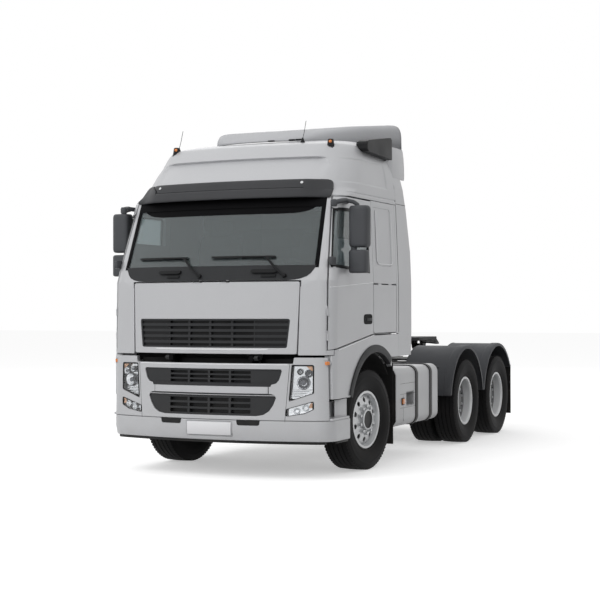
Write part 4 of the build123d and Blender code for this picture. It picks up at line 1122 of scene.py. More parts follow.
def addPod(bm, xs, ys, zs, power=5.0, sides=32):
    # tall rounded housing, flat towards the rear
    middle = Vector(((xs[0] + xs[1]) / 2, (ys[0] + ys[1]) / 2))
    halfX, halfY = (xs[1] - xs[0]) / 2, (ys[1] - ys[0]) / 2
    rings = []
    for share, scale in mirrorLook["podRows"]:
        ring = []
        for turn in range(sides):
            t = 2 * math.pi * turn / sides
            size = cornerSize(t, power)
            pull = 1.0 - 0.12 * max(0.0, math.cos(t))
            y = middle.y + halfY * (1 - (1 - scale) * 0.6) * size * math.sin(t) * pull
            ring.append((middle.x + halfX * scale * size * math.cos(t), y, zs[0] + (zs[1] - zs[0]) * share))
        rings.append(ring)
    loftRings(bm, rings)


def makeMirrors(look):
    for name, flip in (("left", False), ("right", True)):
        body = "door_" + name
        bm = bmesh.new()
        for pod in look["pods"]:
            addPod(bm, *pod)
        for arm in look["arms"]:
            addTube(bm, *arm)
        addBox(bm, *look["foot"])
        addTube(bm, *look["reach"])
        addTurned(bm, look["knuckle"], Matrix.Translation(look["knuckleAt"]), 24)
        addPod(bm, *look["ramp"], 4.0)
        makePiece("mirrorHousing_" + name, bm, body, "mirrorPlastic", "dark_plastic", ("mirror_" + name,), flip=flip,
            smooth=50)
        fillPiece("mirrorGlass_" + name, body, "mirrorFace", "glass", addBox, look["glass"], flip=flip)


sideLook = {
    "arch": (0.698, 0.778), "archY": (1.196, 1.259), "archSpan": (22.0, 127.0),
    "liner": (0.688, 0.694), "linerY": (0.63, 1.18), "linerSpan": (33.0, 140.0),
    "caps": [(3.10, 1.1755), (3.16, 1.1775), (3.24, 1.176), (3.34, 1.170), (3.42, 1.160), (3.4395, 1.154)],
    "capFront": [(-0.64, 0.06), (-0.68, 0.012), (-0.72, 0.0), (-0.9, 0.0), (-1.075, 0.0)],
    "press": (-0.085, -0.545, 2.70, 2.14, 0.06), "fenderEdge": (1.399, 0.1382),
}


def arcRings(x, profile, span, steps):
    # profile of (radius, y) points swept round an axle
    angles = spread(math.radians(span[0]), math.radians(span[1]), steps)
    return [[(x + r * math.cos(t), y, axleZ + r * math.sin(t)) for r, y in profile] for t in angles]


def archRings(radii, ys, span, steps):
    corners = ((radii[0], ys[0]), (radii[1], ys[0]), (radii[1], ys[1]), (radii[0], ys[1]))
    return [(arcRings(0.0, corners, span, steps),)]


def makeSideTrim(look):
    outer, inner = [], []
    for z, y in look["caps"]:
        outer.append([(x, y - 0.0012 - pull, z) for x, pull in look["capFront"] + [(-1.105, 0.01)]])
        inner.append([(x, y - 0.03 - pull, z) for x, pull in look["capFront"] + [(-1.10, 0.01)]])
    fillPiece("fairingCaps", "cab", "silverPaint", "paint", addSlab, [(outer, inner)], both=True, smooth=50)
    # raised edge of the pressing behind the door, in a lighter silver as a painted highlight
    ahead, behind, top, low, curve = look["press"]
    low, quarter = low + curve, spread(0, math.pi / 2, 8)
    line = [(ahead, z) for z in spread(top, low, 16)]
    line += [(ahead - curve + curve * math.cos(t), low - curve * math.sin(t)) for t in quarter[1:]]
    line += [(behind + curve - curve * math.sin(t), low - curve * math.cos(t)) for t in quarter]
    line += [(behind, z) for z in spread(low, top, 16)[1:]]
    fillPiece("sleeperPress", "cab", "edgeSilver", "paint", addTube, [(onSide(line, -0.0022), 0.005, 8)], both=True)
    # rounded top edge of the fenders, under the door, in a lighter silver as a painted highlight
    height, fall = look["fenderEdge"]
    line = onSide([(x, height - fall * (x - 0.03)) for x in spread(0.98, 0.03, 20)], -0.002)
    fillPiece("fenderEdges", "cab", "edgeSilver", "paint", addTube, [(line, 0.0055, 8)], both=True)
    rings = archRings(look["arch"], look["archY"], look["archSpan"], 40)
    fillPiece("archLips", "cab", "darkPlastic", "dark_plastic", loftRings, rings, both=True, bevel=0.006)
    rings = archRings(look["liner"], look["linerY"], look["linerSpan"], 30)
    fillPiece("archLiners", "cab", "rubberFlap", "dark_plastic", loftRings, rings, both=True)
    patches = [("cab", [(z, -0.705, -0.695) for z in spread(1.42, 3.30, 24)], 0.0008, 0.006, 1),
               ("cab", [(z, -1.01, -0.706) for z in (2.808, 2.814)], 0.0008, 0.006, 4)]
    fillPiece("fairingSeals", "cab", "grillePlastic", "rubber", sidePatch, patches, both=True)


# roof lamps stand at (x, y, z) on both sides, whips at (x, y, z) with a height
roofLook = {
    "lamps": (0.365, 0.905, 3.353), "whips": [(0.345, 0.581, 3.397, 0.235), (0.345, -0.885, 3.365, 0.24)],
    "clips": (0.18, 0.42, 0.50),
    "lampShape": [(-0.02, 0.0), (-0.02, 0.042), (0.012, 0.036), (0.035, 0.033), (0.055, 0.030), (0.062, 0.022),
        (0.064, 0.0)],
    "domeShape": [(0.0, 0.0), (0.0, 0.0165), (0.006, 0.015), (0.010, 0.009), (0.012, 0.0)],
    "whipFoot": [(-0.012, 0.0), (-0.012, 0.026), (0.01, 0.022), (0.03, 0.012), (0.05, 0.007), (0.05, 0.0)],
}


def makeRoofGear(look):
    x, y, z = look["lamps"]
    bm, domes = bmesh.new(), bmesh.new()
    for side in (-1, 1):
        addTurned(bm, look["lampShape"], Matrix.Translation((x, side * y, z)), 24)
        addTurned(domes, look["domeShape"], facing((x + 0.029, side * y + 0.008, z + 0.034), (1, 0.3, 0.0)), 20)
    for wx, wy, wz, tall in look["whips"]:
        addTurned(bm, look["whipFoot"], Matrix.Translation((wx, wy, wz)), 20)
        addTube(bm, [(wx, wy, wz + 0.04), (wx - 0.04, wy, wz + tall * 0.5), (wx - 0.085, wy, wz + tall)], 0.0028, 8)
    for y in look["clips"]:
        addBox(bm, (0.245, y - 0.035, 3.434), (0.275, y + 0.035, 3.449), 0.004)
    makePiece("roofGear", bm, "cab", "grillePlastic", "dark_plastic")
    makePiece("roofLenses", domes, "cab", "amberLens", "lamp")


roofSkinLook = {
    "low": 2.8005, "high": 3.43, "rear": -0.6995, "rows": 100, "wall": 0.02, "brow": 0.042, "browLow": (2.90, 0.955),
    "browHigh": (3.222, 0.945), "browRound": 0.075,
    "press": [(0.600, -0.478, 2.945), (0.430, 3.215)], "pressDepth": 0.007,
    "groove": (2.836, 2.850), "topEdge": [(0.0045, 0.018), (0.008, 0.05), (0.0095, 0.10)],
}


def roofRing(z, rear, inset=0.0):
    front, half, corner, centreX, centreY = roofCorner(z, inset)
    ring = [(x, half) for x in spread(rear, centreX, 56)]
    sweep = math.atan2(centreY, math.sqrt((bow - corner) ** 2 - centreY ** 2))
    ring += [(centreX + corner * math.cos(t), centreY + corner * math.sin(t))
        for t in spread(math.pi / 2, sweep, 18)[1:]]
    ring += [(front - bow + bow * math.cos(t), bow * math.sin(t)) for t in spread(sweep, 0.0, 70)[1:]]
    return ring + [(x, -y) for x, y in reversed(ring[:-1])]


def roofDent(x, y, z, look):
    # how far the skin is pressed in, and whether along x or y
    (z0, half0), (z1, half1) = look["browLow"], look["browHigh"]
    edge = half0 + (half1 - half0) * (z - z0) / (z1 - z0)
    beside, below, curve = edge - abs(y), z1 - z, look["browRound"]
    depth = min(beside, below)
    if max(beside, below) < curve:
        depth = curve - math.hypot(curve - beside, curve - below)
    fade = 0.12 + 0.88 * smoothStep(z, 2.94, 3.17)
    front = look["brow"] * smoothStep(depth, -0.002, 0.022) * fade if x > 0.2 else 0.0
    (xa, xb, za), (xc, zc) = look["press"]
    share = (z - za) / (zc - za)
    ahead = xa + (xc - xa) * share
    reach = min(ahead - x, x - xb, z - za, zc - z)
    beside = 0.0
    if abs(y) > 0.9 and x < 0.62:
        beside = look["pressDepth"] * smoothStep(reach, 0.0, 0.014)
        low, high = look["groove"]
        beside += look["pressDepth"] * smoothStep(0.5 * (high - low) - abs(z - 0.5 * (low + high)), -0.002, 0.005)
    return front, beside


def addWall(piece, thickness):
    wall = piece.modifiers.new("wall", "SOLIDIFY")
    wall.thickness = thickness
    wall.offset = -1


def makeRoof(look):
    bm = bmesh.new()
    rings = []
    for z in spread(look["low"], look["high"], look["rows"]):
        ring = []
        for x, y in roofRing(z, look["rear"]):
            front, beside = roofDent(x, y, z, look)
            ring.append((x - front, y - math.copysign(beside, y), z))
        rings.append(ring)
    for rise, inset in look["topEdge"]:  # eased edge up to the flat top
        rings.append([(x, y, look["high"] + rise) for x, y in roofRing(look["high"], look["rear"], inset)])
    loftRings(bm, rings)
    bm.faces.ensure_lookup_table()
    floor = [face for face in bm.faces if all(abs(vert.co.z - look["low"]) < 1e-6 for vert in face.verts)]
    bmesh.ops.delete(bm, geom=floor, context="FACES_ONLY")
    piece = makePiece("roofSkin", bm, "cab", "silverPaint", "paint", ("cab_roof",), smooth=45)
    addWall(piece, look["wall"])


deflectorLook = {
    "outline": [(-1.04, 1.16), (-0.80, 1.03), (-0.54, 0.89), (-0.20, 0.71), (0.06, 0.55), (0.18, 0.40), (0.24, 0.22),
        (0.26, 0.0)],
    "tops": [(-1.04, 3.721), (-0.6, 3.67), (-0.15, 3.58), (0.26, 3.468)],
    "base": 3.4405, "rear": -1.04, "wall": 0.02,
    "rows": (1.0, 0.998, 0.992, 0.982, 0.968, 0.95, 0.92, 0.87, 0.8, 0.7, 0.58, 0.45, 0.3, 0.15, 0.02),
}


def smoothLine(points, count):
    # points joined by an eased curve through each of them
    line = []
    padded = [points[0]] + points + [points[-1]]
    for a, b, c, d in zip(padded, padded[1:], padded[2:], padded[3:]):
        for t in spread(0, 1, count)[:-1]:
            line.append([0.5 * (2 * q + (r - p) * t + (2 * p - 5 * q + 4 * r - s) * t ** 2
                                + (3 * q - p - 3 * r + s) * t ** 3) for p, q, r, s in zip(a, b, c, d)])
    return line + [list(points[-1])]


def makeDeflector(look):
    half = smoothLine(look["outline"], 7)
    outline = half + [(x, -y) for x, y in reversed(half[:-1])]
    bm = bmesh.new()
    rows = []
    for scale in look["rows"]:
        shape = (1 - scale ** 26) ** 0.25
        row = []
        for x, y in outline:
            x = look["rear"] + (x - look["rear"]) * scale
            top = blendTable(look["tops"], x)[0]
            row.append(bm.verts.new((x, y * scale, look["base"] + (top - look["base"]) * shape)))
        rows.append(row)
    for a, b in zip(rows, rows[1:]):
        for i in range(len(a) - 1):
            bm.faces.new((a[i], a[i + 1], b[i + 1], b[i]))
    bm.faces.new(rows[-1])
    piece = makePiece("deflectorSkin", bm, "cab", "deflectorPaint", "paint", ("roof_deflector",), smooth=60)
    addWall(piece, look["wall"])


makeRoof(roofSkinLook)
makeDeflector(deflectorLook)
makeDoors(doorLook, windowLook)
makeMirrors(mirrorLook)
makeSideTrim(sideLook)
makeRoofGear(roofLook)
print("cab sides and roof dressed")

# wheels
wheelLook = {"steer": -6.0, "frontY": 1.04, "kingpin": 0.89, "rearY": 0.9175, "spread": 0.1675, "driveX": (-3.2, -4.57)}
tyreLook = {
    "grooves": (0.078, 0.027), "width": 0.005, "depth": 0.013, "lugs": 78, "lugSize": (0.022, 0.024, 0.034),
    "lugRing": (0.5065, 0.1155), "steps": 96,
    "side": [(0.1047, 0.286), (0.1047, 0.299), (0.116, 0.303), (0.126, 0.318), (0.1275, 0.322), (0.1265, 0.327),
             (0.139, 0.36), (0.1475, 0.395), (0.149, 0.415), (0.1475, 0.445), (0.1485, 0.4495), (0.1465, 0.454),
             (0.142, 0.48), (0.136, 0.502), (0.127, 0.512), (0.114, 0.517)],
}
# rings of ten pegs: distance along the axle, ring radius, peg radius, height and sides
pegLook = {
    "front": [(0.116, 0.1415, 0.0165, 0.034, 6), (0.103, 0.1415, 0.0225, 0.006, 20)],
    "rear": [(0.176, 0.166, 0.0165, 0.036, 6)], "holes": [(0.168, 0.214, 0.021, 0.006, 20)],
}
# turned parts as (distance along the axle, radius)
hubLook = {
    "ring": [(0.100, 0.090), (0.139, 0.092), (0.1415, 0.095), (0.1405, 0.101), (0.135, 0.107), (0.100, 0.110)],
    "drum": [(-0.055, 0.128), (-0.055, 0.25), (0.03, 0.25), (0.035, 0.24), (0.035, 0.128), (-0.055, 0.128)],
    "cup": [(0.1283, 0.0), (0.1283, 0.05), (0.1295, 0.078), (0.133, 0.0905), (0.1275, 0.0915)],
    # dark ring over the rim's inner flange, painted shade below the skirt
    "bead": [(-0.1185, 0.252), (-0.1185, 0.2895), (-0.106, 0.2915), (-0.106, 0.252), (-0.1185, 0.252)],
    "shield": [(-0.096, 0.06), (-0.096, 0.245), (-0.085, 0.252), (-0.09, 0.256), (-0.101, 0.248), (-0.101, 0.06),
        (-0.096, 0.06)],
    "disc": [(0.180, 0.263), (0.178, 0.252), (0.171, 0.232), (0.170, 0.19), (0.172, 0.13), (0.172, 0.112),
             (0.196, 0.106), (0.200, 0.098), (0.200, 0.0)],
}


def tyreProfile(look):
    half, wide, deep = list(look["side"]), look["width"], look["depth"]
    for middle in look["grooves"]:
        top = 0.5215 - 0.30 * middle ** 2
        half += [(middle + wide, top), (middle + wide * 0.6, top - deep), (middle - wide * 0.6, top - deep),
            (middle - wide, top)]
    return half + [(-a, r) for a, r in reversed(half)] + [half[0]]


def makeTyreMesh(look):
    bm = bmesh.new()
    addTurned(bm, tyreProfile(look), Matrix.Identity(4), look["steps"])
    radius, along = look["lugRing"]
    sizes = {"Count": look["lugs"], "Ring Radius": radius, "Lug Size": look["lugSize"]}
    for side in (-1, 1):
        addRepeat(bm, lugTree, "tyreRubber", sizes, Matrix.Translation((0, 0, side * along)))
    return bm


def wheelPlaces(look):
    turn = math.radians(look["steer"])
    reach = look["frontY"] - look["kingpin"]
    places = {}
    for name, side in (("left", 1), ("right", -1)):
        axis = Vector((-math.sin(turn) * side, math.cos(turn) * side, 0))
        centre = Vector((0, side * look["kingpin"], axleZ)) + axis * reach
        places["front_" + name] = ("wheel_front_" + name, facing(centre, axis), [0.0])
        for row, x in enumerate(look["driveX"], start=1):
            key = "rear%d_%s" % (row, name)
            place = facing(Vector((x, side * look["rearY"], axleZ)), (0, side, 0))
            places[key] = ("wheels_" + key, place, [look["spread"], -look["spread"]])
    return places


def addPegs(bm, rings, finish, place):
    for along, ring, radius, height, sides in rings:
        sizes = {"Count": 10, "Ring Radius": ring, "Peg Radius": radius, "Peg Height": height, "Peg Sides": sides}
        addRepeat(bm, ringTree, finish, sizes, place @ Matrix.Translation((0, 0, along)))


def makeWheels(look, tyre, pegs, hub):
    for key, (body, place, offsets) in wheelPlaces(look).items():
        front = key.startswith("front")
        bm = bmesh.new()
        for offset in offsets:
            part = makeTyreMesh(tyre)
            part.transform(place @ Matrix.Translation((0, 0, offset)))
            mesh = bpy.data.meshes.new("tyrePart")
            part.to_mesh(mesh)
            part.free()
            addMesh(bm, mesh)
        node = ("tyre_" if front else "tyres_") + key
        makePiece("tread_" + key, bm, body, "tyreRubber", "tyre", (node,), smooth=32, weld=False)
        bm = bmesh.new()
        addPegs(bm, pegs["front" if front else "rear"], "rimMetal", place)
        if front:
            addTurned(bm, hub["ring"], place, 48)
        makePiece("wheelNuts_" + key, bm, body, "rimMetal", "rim", smooth=30, weld=False)
        if front:
            fillPiece("brakeDrum_" + key, body, "castSteel", "steel", addTurned, [(hub["drum"], place, 48)])
            # hub cup, and a dark ring over the rim's inner flange as painted shade
            parts = [(hub["cup"], place, 36), (hub["bead"], place, 48)]
            fillPiece("hubCup_" + key, body, "grillePlastic", "steel", addTurned, parts)
            knuckle = body.replace("wheel_front", "knuckle")  # carries the splash shield behind the rim
            fillPiece("brakeShield_" + key, knuckle, "castSteel", "steel", addTurned, [(hub["shield"], place, 48)])
        else:
            disc = [(hub["disc"], place, 64)]  # dished disc of the outer wheel
            fillPiece("wheelDisc_" + key, body, "dishMetal", "rim", addTurned, disc, smooth=45, weld=False)
            # black discs on the dish for the hand holes, painted shade seen through them
            holes = [(pegs["holes"], "fritBlack", place)]
            fillPiece("handHoles_" + key, body, "fritBlack", "rim", addPegs, holes, weld=False)
        # rear rims in a lighter copy of the rim silver, painted light
        softNode(("rim_" if front else "rims_") + key, "rimMetal" if front else "rimPale", 0.0, 28)


makeWheels(wheelLook, tyreLook, pegLook, hubLook)
print("wheels dressed")

# chassis
tankLook = {
    "face": 1.228, "lamp": (-0.873, 0.655), "pocket": (-1.24, -0.99, 0.60, 0.75), "cap": (-0.95, 0.80, 1.03),
    "capShape": [(0.0, 0.06), (0.03, 0.062), (0.055, 0.06), (0.062, 0.05), (0.062, 0.0)],
    "grips": {"Count": 14, "Ring Radius": 0.06, "Peg Radius": 0.006, "Peg Height": 0.04, "Peg Sides": 8},
    "end": [(0.62, 0.45), (0.66, 0.40), (0.70, 0.385), (1.14, 0.385), (1.195, 0.405), (1.222, 0.45),
            (1.222, 0.95), (1.20, 1.0), (1.15, 1.022), (0.70, 1.022), (0.65, 1.005), (0.62, 0.96)],
    "endX": (-0.6645, -0.652), "upright": -0.885, "joints": (0.585, 0.735, 0.85),
}


def makeTank(look):
    x, z = look["lamp"]
    x0, x1, z0, z1 = look["pocket"]
    face, cap = look["face"], Vector(look["cap"])
    bm = bmesh.new()
    addBox(bm, (x - 0.045, 1.226, z - 0.04), (x + 0.045, 1.2325, z + 0.04), 0.002)
    addTurned(bm, look["capShape"], Matrix.Translation(look["cap"]), 32)
    addRepeat(bm, ringTree, "grillePlastic", look["grips"], Matrix.Translation(cap + Vector((0, 0, 0.03))))
    makePiece("tankFittings", bm, "chassis", "grillePlastic", "dark_plastic")
    lens = [((x - 0.036, 1.230, z - 0.03), (x + 0.036, 1.2465, z + 0.03), 0.007)]
    fillPiece("tankLamp", "chassis", "amberLens", "lamp", addBox, lens)
    inner, outer = face - 0.125, face - 0.004
    walls = [
        ((x0 + 0.001, face - 0.128, z0 + 0.001), (x1 - 0.001, face - 0.122, z1 - 0.001), 0.001),
        ((x0 + 0.0005, inner, z0 + 0.0005), (x0 + 0.004, outer, z1 - 0.0005), 0.001),
        ((x1 - 0.004, inner, z0 + 0.0005), (x1 - 0.0005, outer, z1 - 0.0005), 0.001),
        ((x0 + 0.0005, inner, z1 - 0.004), (x1 - 0.0005, outer, z1 - 0.0005), 0.001),
        ((x0 + 0.002, face - 0.12, z0 + 0.0005), (x1 - 0.002, face - 0.006, z0 + 0.006), 0.002),
    ]
    fillPiece("tankPocket", "chassis", "tankMetal", "paint", addBox, walls)
    bm = bmesh.new()
    loftRings(bm, [[(x, y, z) for y, z in look["end"]] for x in look["endX"]])
    x = look["upright"]
    for z0, z1 in ((0.60, 0.72), (0.44, 0.58)):  # panel joints on the face
        addBox(bm, (x - 0.0015, face - 0.002, z0), (x + 0.0015, face + 0.0006, z1))
    for z in look["joints"]:
        addBox(bm, (-1.27, face - 0.002, z - 0.0015), (-0.79, face + 0.0006, z + 0.0015))
    makePiece("tankFront", bm, "chassis", "rubberFlap", "dark_plastic")


# mudguards: spans as (axle x, start and end angle), band as (radius, y)
guardLook = {
    "lip": 0.679, "lipY": (1.226, 0.60), "spans": [(-3.2, (9.0, 171.0)), (-4.57, (9.0, 148.0))],
    "band": [(0.684, 1.135), (0.6905, 1.143), (0.692, 1.155), (0.692, 1.205), (0.690, 1.222), (0.684, 1.234),
             (0.674, 1.2383), (0.650, 1.2383), (0.650, 1.232), (0.672, 1.231), (0.676, 1.135)],
}


def makeGuards(look):
    lips = []
    for x, span in look["spans"]:
        for y in look["lipY"]:
            lips.append(([ring[0] for ring in arcRings(x, [(look["lip"], y)], span, 36)], 0.011, 8))
    fillPiece("guardLips", "chassis", "guardPlastic", "dark_plastic", addTube, lips, both=True)
    bands = [(arcRings(x, look["band"], span, 48),) for x, span in look["spans"]]  # raised, with a rolled edge
    fillPiece("guardBands", "chassis", "guardPlastic", "dark_plastic", loftRings, bands, both=True, smooth=35)


# rows of bolts: x, z, count and step
frameLook = {"bolts": [(-5.0, 0.95, 20, 0.14), (-5.0, 0.75, 20, 0.14), (-2.0, 0.95, 8, 0.12)], "web": 0.425,
             "bolt": {"Peg Radius": 0.012, "Peg Height": 0.014, "Peg Turn": (math.pi / 2, 0, 0)}}


def makeRailBolts(look):
    rows = []
    for x, z, count, step in look["bolts"]:
        sizes = {"Count": count, "Start": (x, look["web"] + 0.005, z), "Step": (step, 0, 0), **look["bolt"]}
        rows.append((rowTree, "framePaint", sizes))
    fillPiece("railBolts", "chassis", "framePaint", "black_paint", addRepeat, rows, both=True, smooth=30)


rearLook = {"tail": -5.2, "y": (0.60, 0.96), "z": (0.74, 0.85),
            "lenses": [("Tail", "redLens", 0.80, 0.955), ("Turn", "amberLens", 0.70, 0.795),
                       ("Back", "whiteLens", 0.606, 0.695)]}


def makeRearLamps(look):
    tail, (y0, y1), (z0, z1) = look["tail"], look["y"], look["z"]
    boxes = [((tail + 0.006, y0, z0), (tail + 0.034, y1, z1), 0.006),
             ((tail + 0.008, 0.335, 0.762), (tail + 0.03, 0.615, 0.828), 0.004),
             ((tail + 0.02, 0.335, 0.762), (tail + 0.0597, 0.425, 0.828), 0.002)]
    for name, flip in (("left", False), ("right", True)):
        fillPiece("rearLampBody_" + name, "chassis", "grillePlastic", "dark_plastic", addBox, boxes,
                  replaced=("rear_lamps",), flip=flip)
        for part, finish, a, b in look["lenses"]:
            lens = [((tail + 0.0003, a, z0 + 0.008), (tail + 0.012, b, z1 - 0.008), 0.004)]
            fillPiece("rearLens%s_%s" % (part, name), "chassis", finish, "red_lamp", addBox, lens, flip=flip)


deckLook = {"rear": -2.28, "first": -0.38, "rows": 9, "pitch": 0.095, "top": 1.025}


def makeDeck(look):
    rows = []
    for row in range(look["rows"]):
        start = (look["rear"] + 0.03 + 0.028 * (row % 2), look["first"] + row * look["pitch"], look["top"] + 0.001)
        sizes = {"Count": 18, "Start": start, "Step": (0.056, 0, 0), "Peg Radius": 0.014, "Peg Height": 0.004}
        rows.append((rowTree, "framePaint", sizes))
    fillPiece("deckTread", "chassis", "framePaint", "black_paint", addRepeat, rows, smooth=30)


couplingLook = {"x": -3.93, "top": 1.3}


def makeCoupling(look):
    bm = bmesh.new()
    x, top = look["x"], look["top"]
    for radius in (0.16, 0.27):  # grease grooves on the plate
        for start, end in ((25, 155), (205, 335)):
            angles = spread(math.radians(start), math.radians(end), 20)
            arc = [(x + 0.06 + radius * 0.9 * math.cos(t), radius * math.sin(t), top - 0.001) for t in angles]
            addTube(bm, arc, 0.006, 6)
    addTube(bm, [(x + 0.12, 0.40, 1.235), (x + 0.12, 0.52, 1.23), (x + 0.12, 0.62, 1.22)], 0.011, 10)
    addTube(bm, [(x + 0.12, 0.61, 1.222), (x + 0.06, 0.625, 1.222), (x + 0.05, 0.60, 1.222)], 0.011, 10)
    makePiece("couplingFittings", bm, "fifth_wheel", "framePaint", "steel")


makeTank(tankLook)
makeGuards(guardLook)
makeRailBolts(frameLook)
makeRearLamps(rearLook)
makeDeck(deckLook)
makeCoupling(couplingLook)
print("chassis dressed")

# inside the cab
# seats: (length, width, height) of each cushion and its middle as (x, z)
seatLook = {
    "y": 0.61, "cushion": (0.54, 0.53, 0.15), "back": (0.66, 0.52, 0.125), "rest": (0.165, 0.27, 0.085),
    "cushionAt": (0.19, 1.795), "backAt": (-0.062, 2.16), "restAt": (-0.137, 2.555), "lean": -10.3, "crown": 0.14,
    "bunk": (0.38, 2.28, 0.16), "bunkAt": (-0.435, 0, 1.815), "bunkSeams": (-0.66, -0.33, 0.0, 0.33, 0.66),
    "seams": (-0.45, 0.45),
}


def addCushion(bm, size, crown, seams):
    # crowned closed form with sewn channels across its upper face
    made = bmesh.ops.create_cube(bm, size=2)
    edges = list({edge for vert in made["verts"] for edge in vert.link_edges})
    bmesh.ops.subdivide_edges(bm, edges=edges, cuts=17, use_grid_fill=True)
    for vert in bm.verts:
        p = vert.co
        norm = (abs(p.x) ** 7 + abs(p.y) ** 7 + abs(p.z) ** 7) ** (1 / 7)
        p = p / norm
        puff = (1 - p.x ** 2) * (1 - p.y ** 2)
        x = p.x * (1 - 0.03 * (1 - p.y ** 2))
        y = p.y * (1 - 0.03 * (1 - p.x ** 2))
        z = p.z * (0.86 + crown * puff)
        for seam in seams:
            if p.z > 0.3:
                z -= 0.10 * math.exp(-((p.y - seam) / 0.05) ** 2)
        vert.co = Vector((x * size[0] / 2, y * size[1] / 2, z * size[2] / 2))


def makeCushion(name, size, seams, place):
    bm = bmesh.new()
    addCushion(bm, size, seatLook["crown"], seams)
    bm.transform(place)
    piece = makePiece(name, bm, "cab", "seatCloth", "seat_cloth", smooth=80)


def makeSeats(look):
    lean = Matrix.Rotation(math.radians(look["lean"]), 4, "Y")
    upright = Matrix.Rotation(math.radians(90), 4, "Y")
    for name, side in (("left", 1), ("right", -1)):
        y = side * look["y"]
        at = {key: Matrix.Translation((look[key + "At"][0], y, look[key + "At"][1]))
            for key in ("cushion", "back", "rest")}
        makeCushion("seatCushion_" + name, look["cushion"], look["seams"], at["cushion"])
        makeCushion("seatBack_" + name, look["back"], look["seams"], at["back"] @ lean @ upright)
        makeCushion("headRest_" + name, look["rest"], (), at["rest"] @ lean @ upright)
    makeCushion("bunkMattress", look["bunk"], look["bunkSeams"], Matrix.Translation(look["bunkAt"]))
    boxes = []
    for y in (-look["y"], look["y"]):
        boxes += [((-0.06, y - 0.24, 1.481), (0.41, y + 0.24, 1.535), 0.02),
                  ((0.0, y - 0.18, 1.53), (0.36, y + 0.18, 1.70), 0.03),
                  ((-0.065, y - 0.25, 1.69), (0.44, y + 0.25, 1.735), 0.015)]
    boxes.append(((-0.628, -1.148, 1.481), (-0.245, 1.148, 1.745), 0.015))
    fillPiece("seatBases", "cab", "cabinTrim", "trim_inside", addBox, boxes, replaced=("seats",))


dashLook = {
    "tops": [((0.70, 0.36, 2.0), (0.92, 0.84, 2.075), 0.02), ((0.72, -0.5, 2.0), (0.95, 0.28, 2.03), 0.012),
             ((0.56, -0.14, 1.481), (0.72, 0.14, 1.66), 0.025)],
    "panels": [((0.698, -0.02, 1.80), (0.72, 0.24, 1.95), 0.004), ((0.697, 0.38, 1.88), (0.72, 0.82, 1.99), 0.006)],
    "lever": [(0.62, 0.02, 1.65), (0.60, 0.03, 1.78)], "knobAt": (0.60, 0.03, 1.775),
    "knob": [(0.0, 0.0), (0.0, 0.02), (0.02, 0.027), (0.045, 0.024), (0.055, 0.0)],
    "vents": {"Count": 5, "Start": (0.701, -0.30, 1.82), "Step": (0, 0, 0.022), "Bar Size": (0.014, 0.24, 0.006)},
    "padRows": 4, "padColumns": 6, "padFrom": (-1.11, 1.96), "padSize": (0.37, 0.2),
}


def makeCabin(look):
    bm = bmesh.new()
    for box in look["tops"]:
        addBox(bm, *box)
    addTube(bm, look["lever"], 0.014, 12)
    addTurned(bm, look["knob"], Matrix.Translation(look["knobAt"]), 20)
    makePiece("dashTop", bm, "cab", "cabinTrim", "trim_inside")
    bm = bmesh.new()
    addRepeat(bm, barTree, "grillePlastic", look["vents"])
    for box in look["panels"]:
        addBox(bm, *box)
    makePiece("dashPanels", bm, "cab", "grillePlastic", "grille_plastic")
    (y0, z0), (wide, tall), pads = look["padFrom"], look["padSize"], []
    for row in range(look["padRows"]):
        z = z0 + row * tall
        for column in range(look["padColumns"]):
            y = y0 + column * wide
            pads.append(((-0.6385, y + 0.003, z + 0.003), (-0.622, y + wide - 0.003, z + tall - 0.003), 0.007))
    pads.append(((-0.6395, -1.10, 1.97), (-0.626, 1.10, 2.75), 0.003))
    fillPiece("backLining", "cab", "cabinPale", "trim_inside", addBox, pads)
    lining = [((-0.62, -0.94, 3.315), (0.40, 0.94, 3.33), 0.006)]
    fillPiece("roofLining", "cab", "cabinPale", "trim_inside", addBox, lining)


makeSeats(seatLook)
makeCabin(dashLook)
print("cabin dressed")

# CAD nodes kept with rounded edges
hinges = {
    "lid": [(lidHinges["x"], lidHinges["ys"][1], lidHinges["z"])],
    "door": [(1.122, 1.185, 1.4), (1.122, 1.185, 1.64)],
    "locker": [(-0.15, 1.241, 1.93), (-0.45, 1.241, 1.93)],
}
# finish and slot, then node, bevel and the hinges that keep their edges
softNodes = {
    ("silverPaint", "paint"): [
        ("cab_sides", 0.004, ["locker"]), ("cab_front", 0.004, ["lid", "door"]), ("front_lid", 0.005, ["lid"]),
        ("door_left", 0.004, ["door"]), ("door_right", 0.004, ["door"]), ("locker_lid_left", 0.004, ["locker"]),
        ("locker_lid_right", 0.004, ["locker"]), ("cab_fenders", 0.004, []), ("cab_back", 0.004, []),
        ("side_fairings", 0.005, []), ("bumper_panels", 0.006, []), ("entry_steps", 0.006, [])],
    ("tankMetal", "paint"): [("fuel_tank", 0.012, [])],
    ("guardPlastic", "dark_plastic"): [("rear_mudguards", 0.0, [])],
    ("grillePlastic", "dark_plastic"): [("air_intake", 0.008, [])],
    ("grilleGrey", "grille_plastic"): [("lower_grilles", 0.002, [])],
    ("castSteel", "steel"): [("fifth_wheel", 0.004, [])],
    ("framePaint", "black_paint"): [("tank_straps", 0.002, [])],
    ("cabinTrim", "trim_inside"): [("dashboard", 0.0, []), ("steering_wheel", 0.0, [])],
    ("tankMetal", "steel"): [("silencer", 0.006, [])],
    ("rubberFlap", "rubber"): [("mud_flaps", 0.003, [])],
}
for (finish, slot), rows in softNodes.items():
    for name, bevel, keys in rows:
        softNode(name, finish, bevel, 38, [spot for key in keys for spot in hinges[key]])
print("panels rounded")

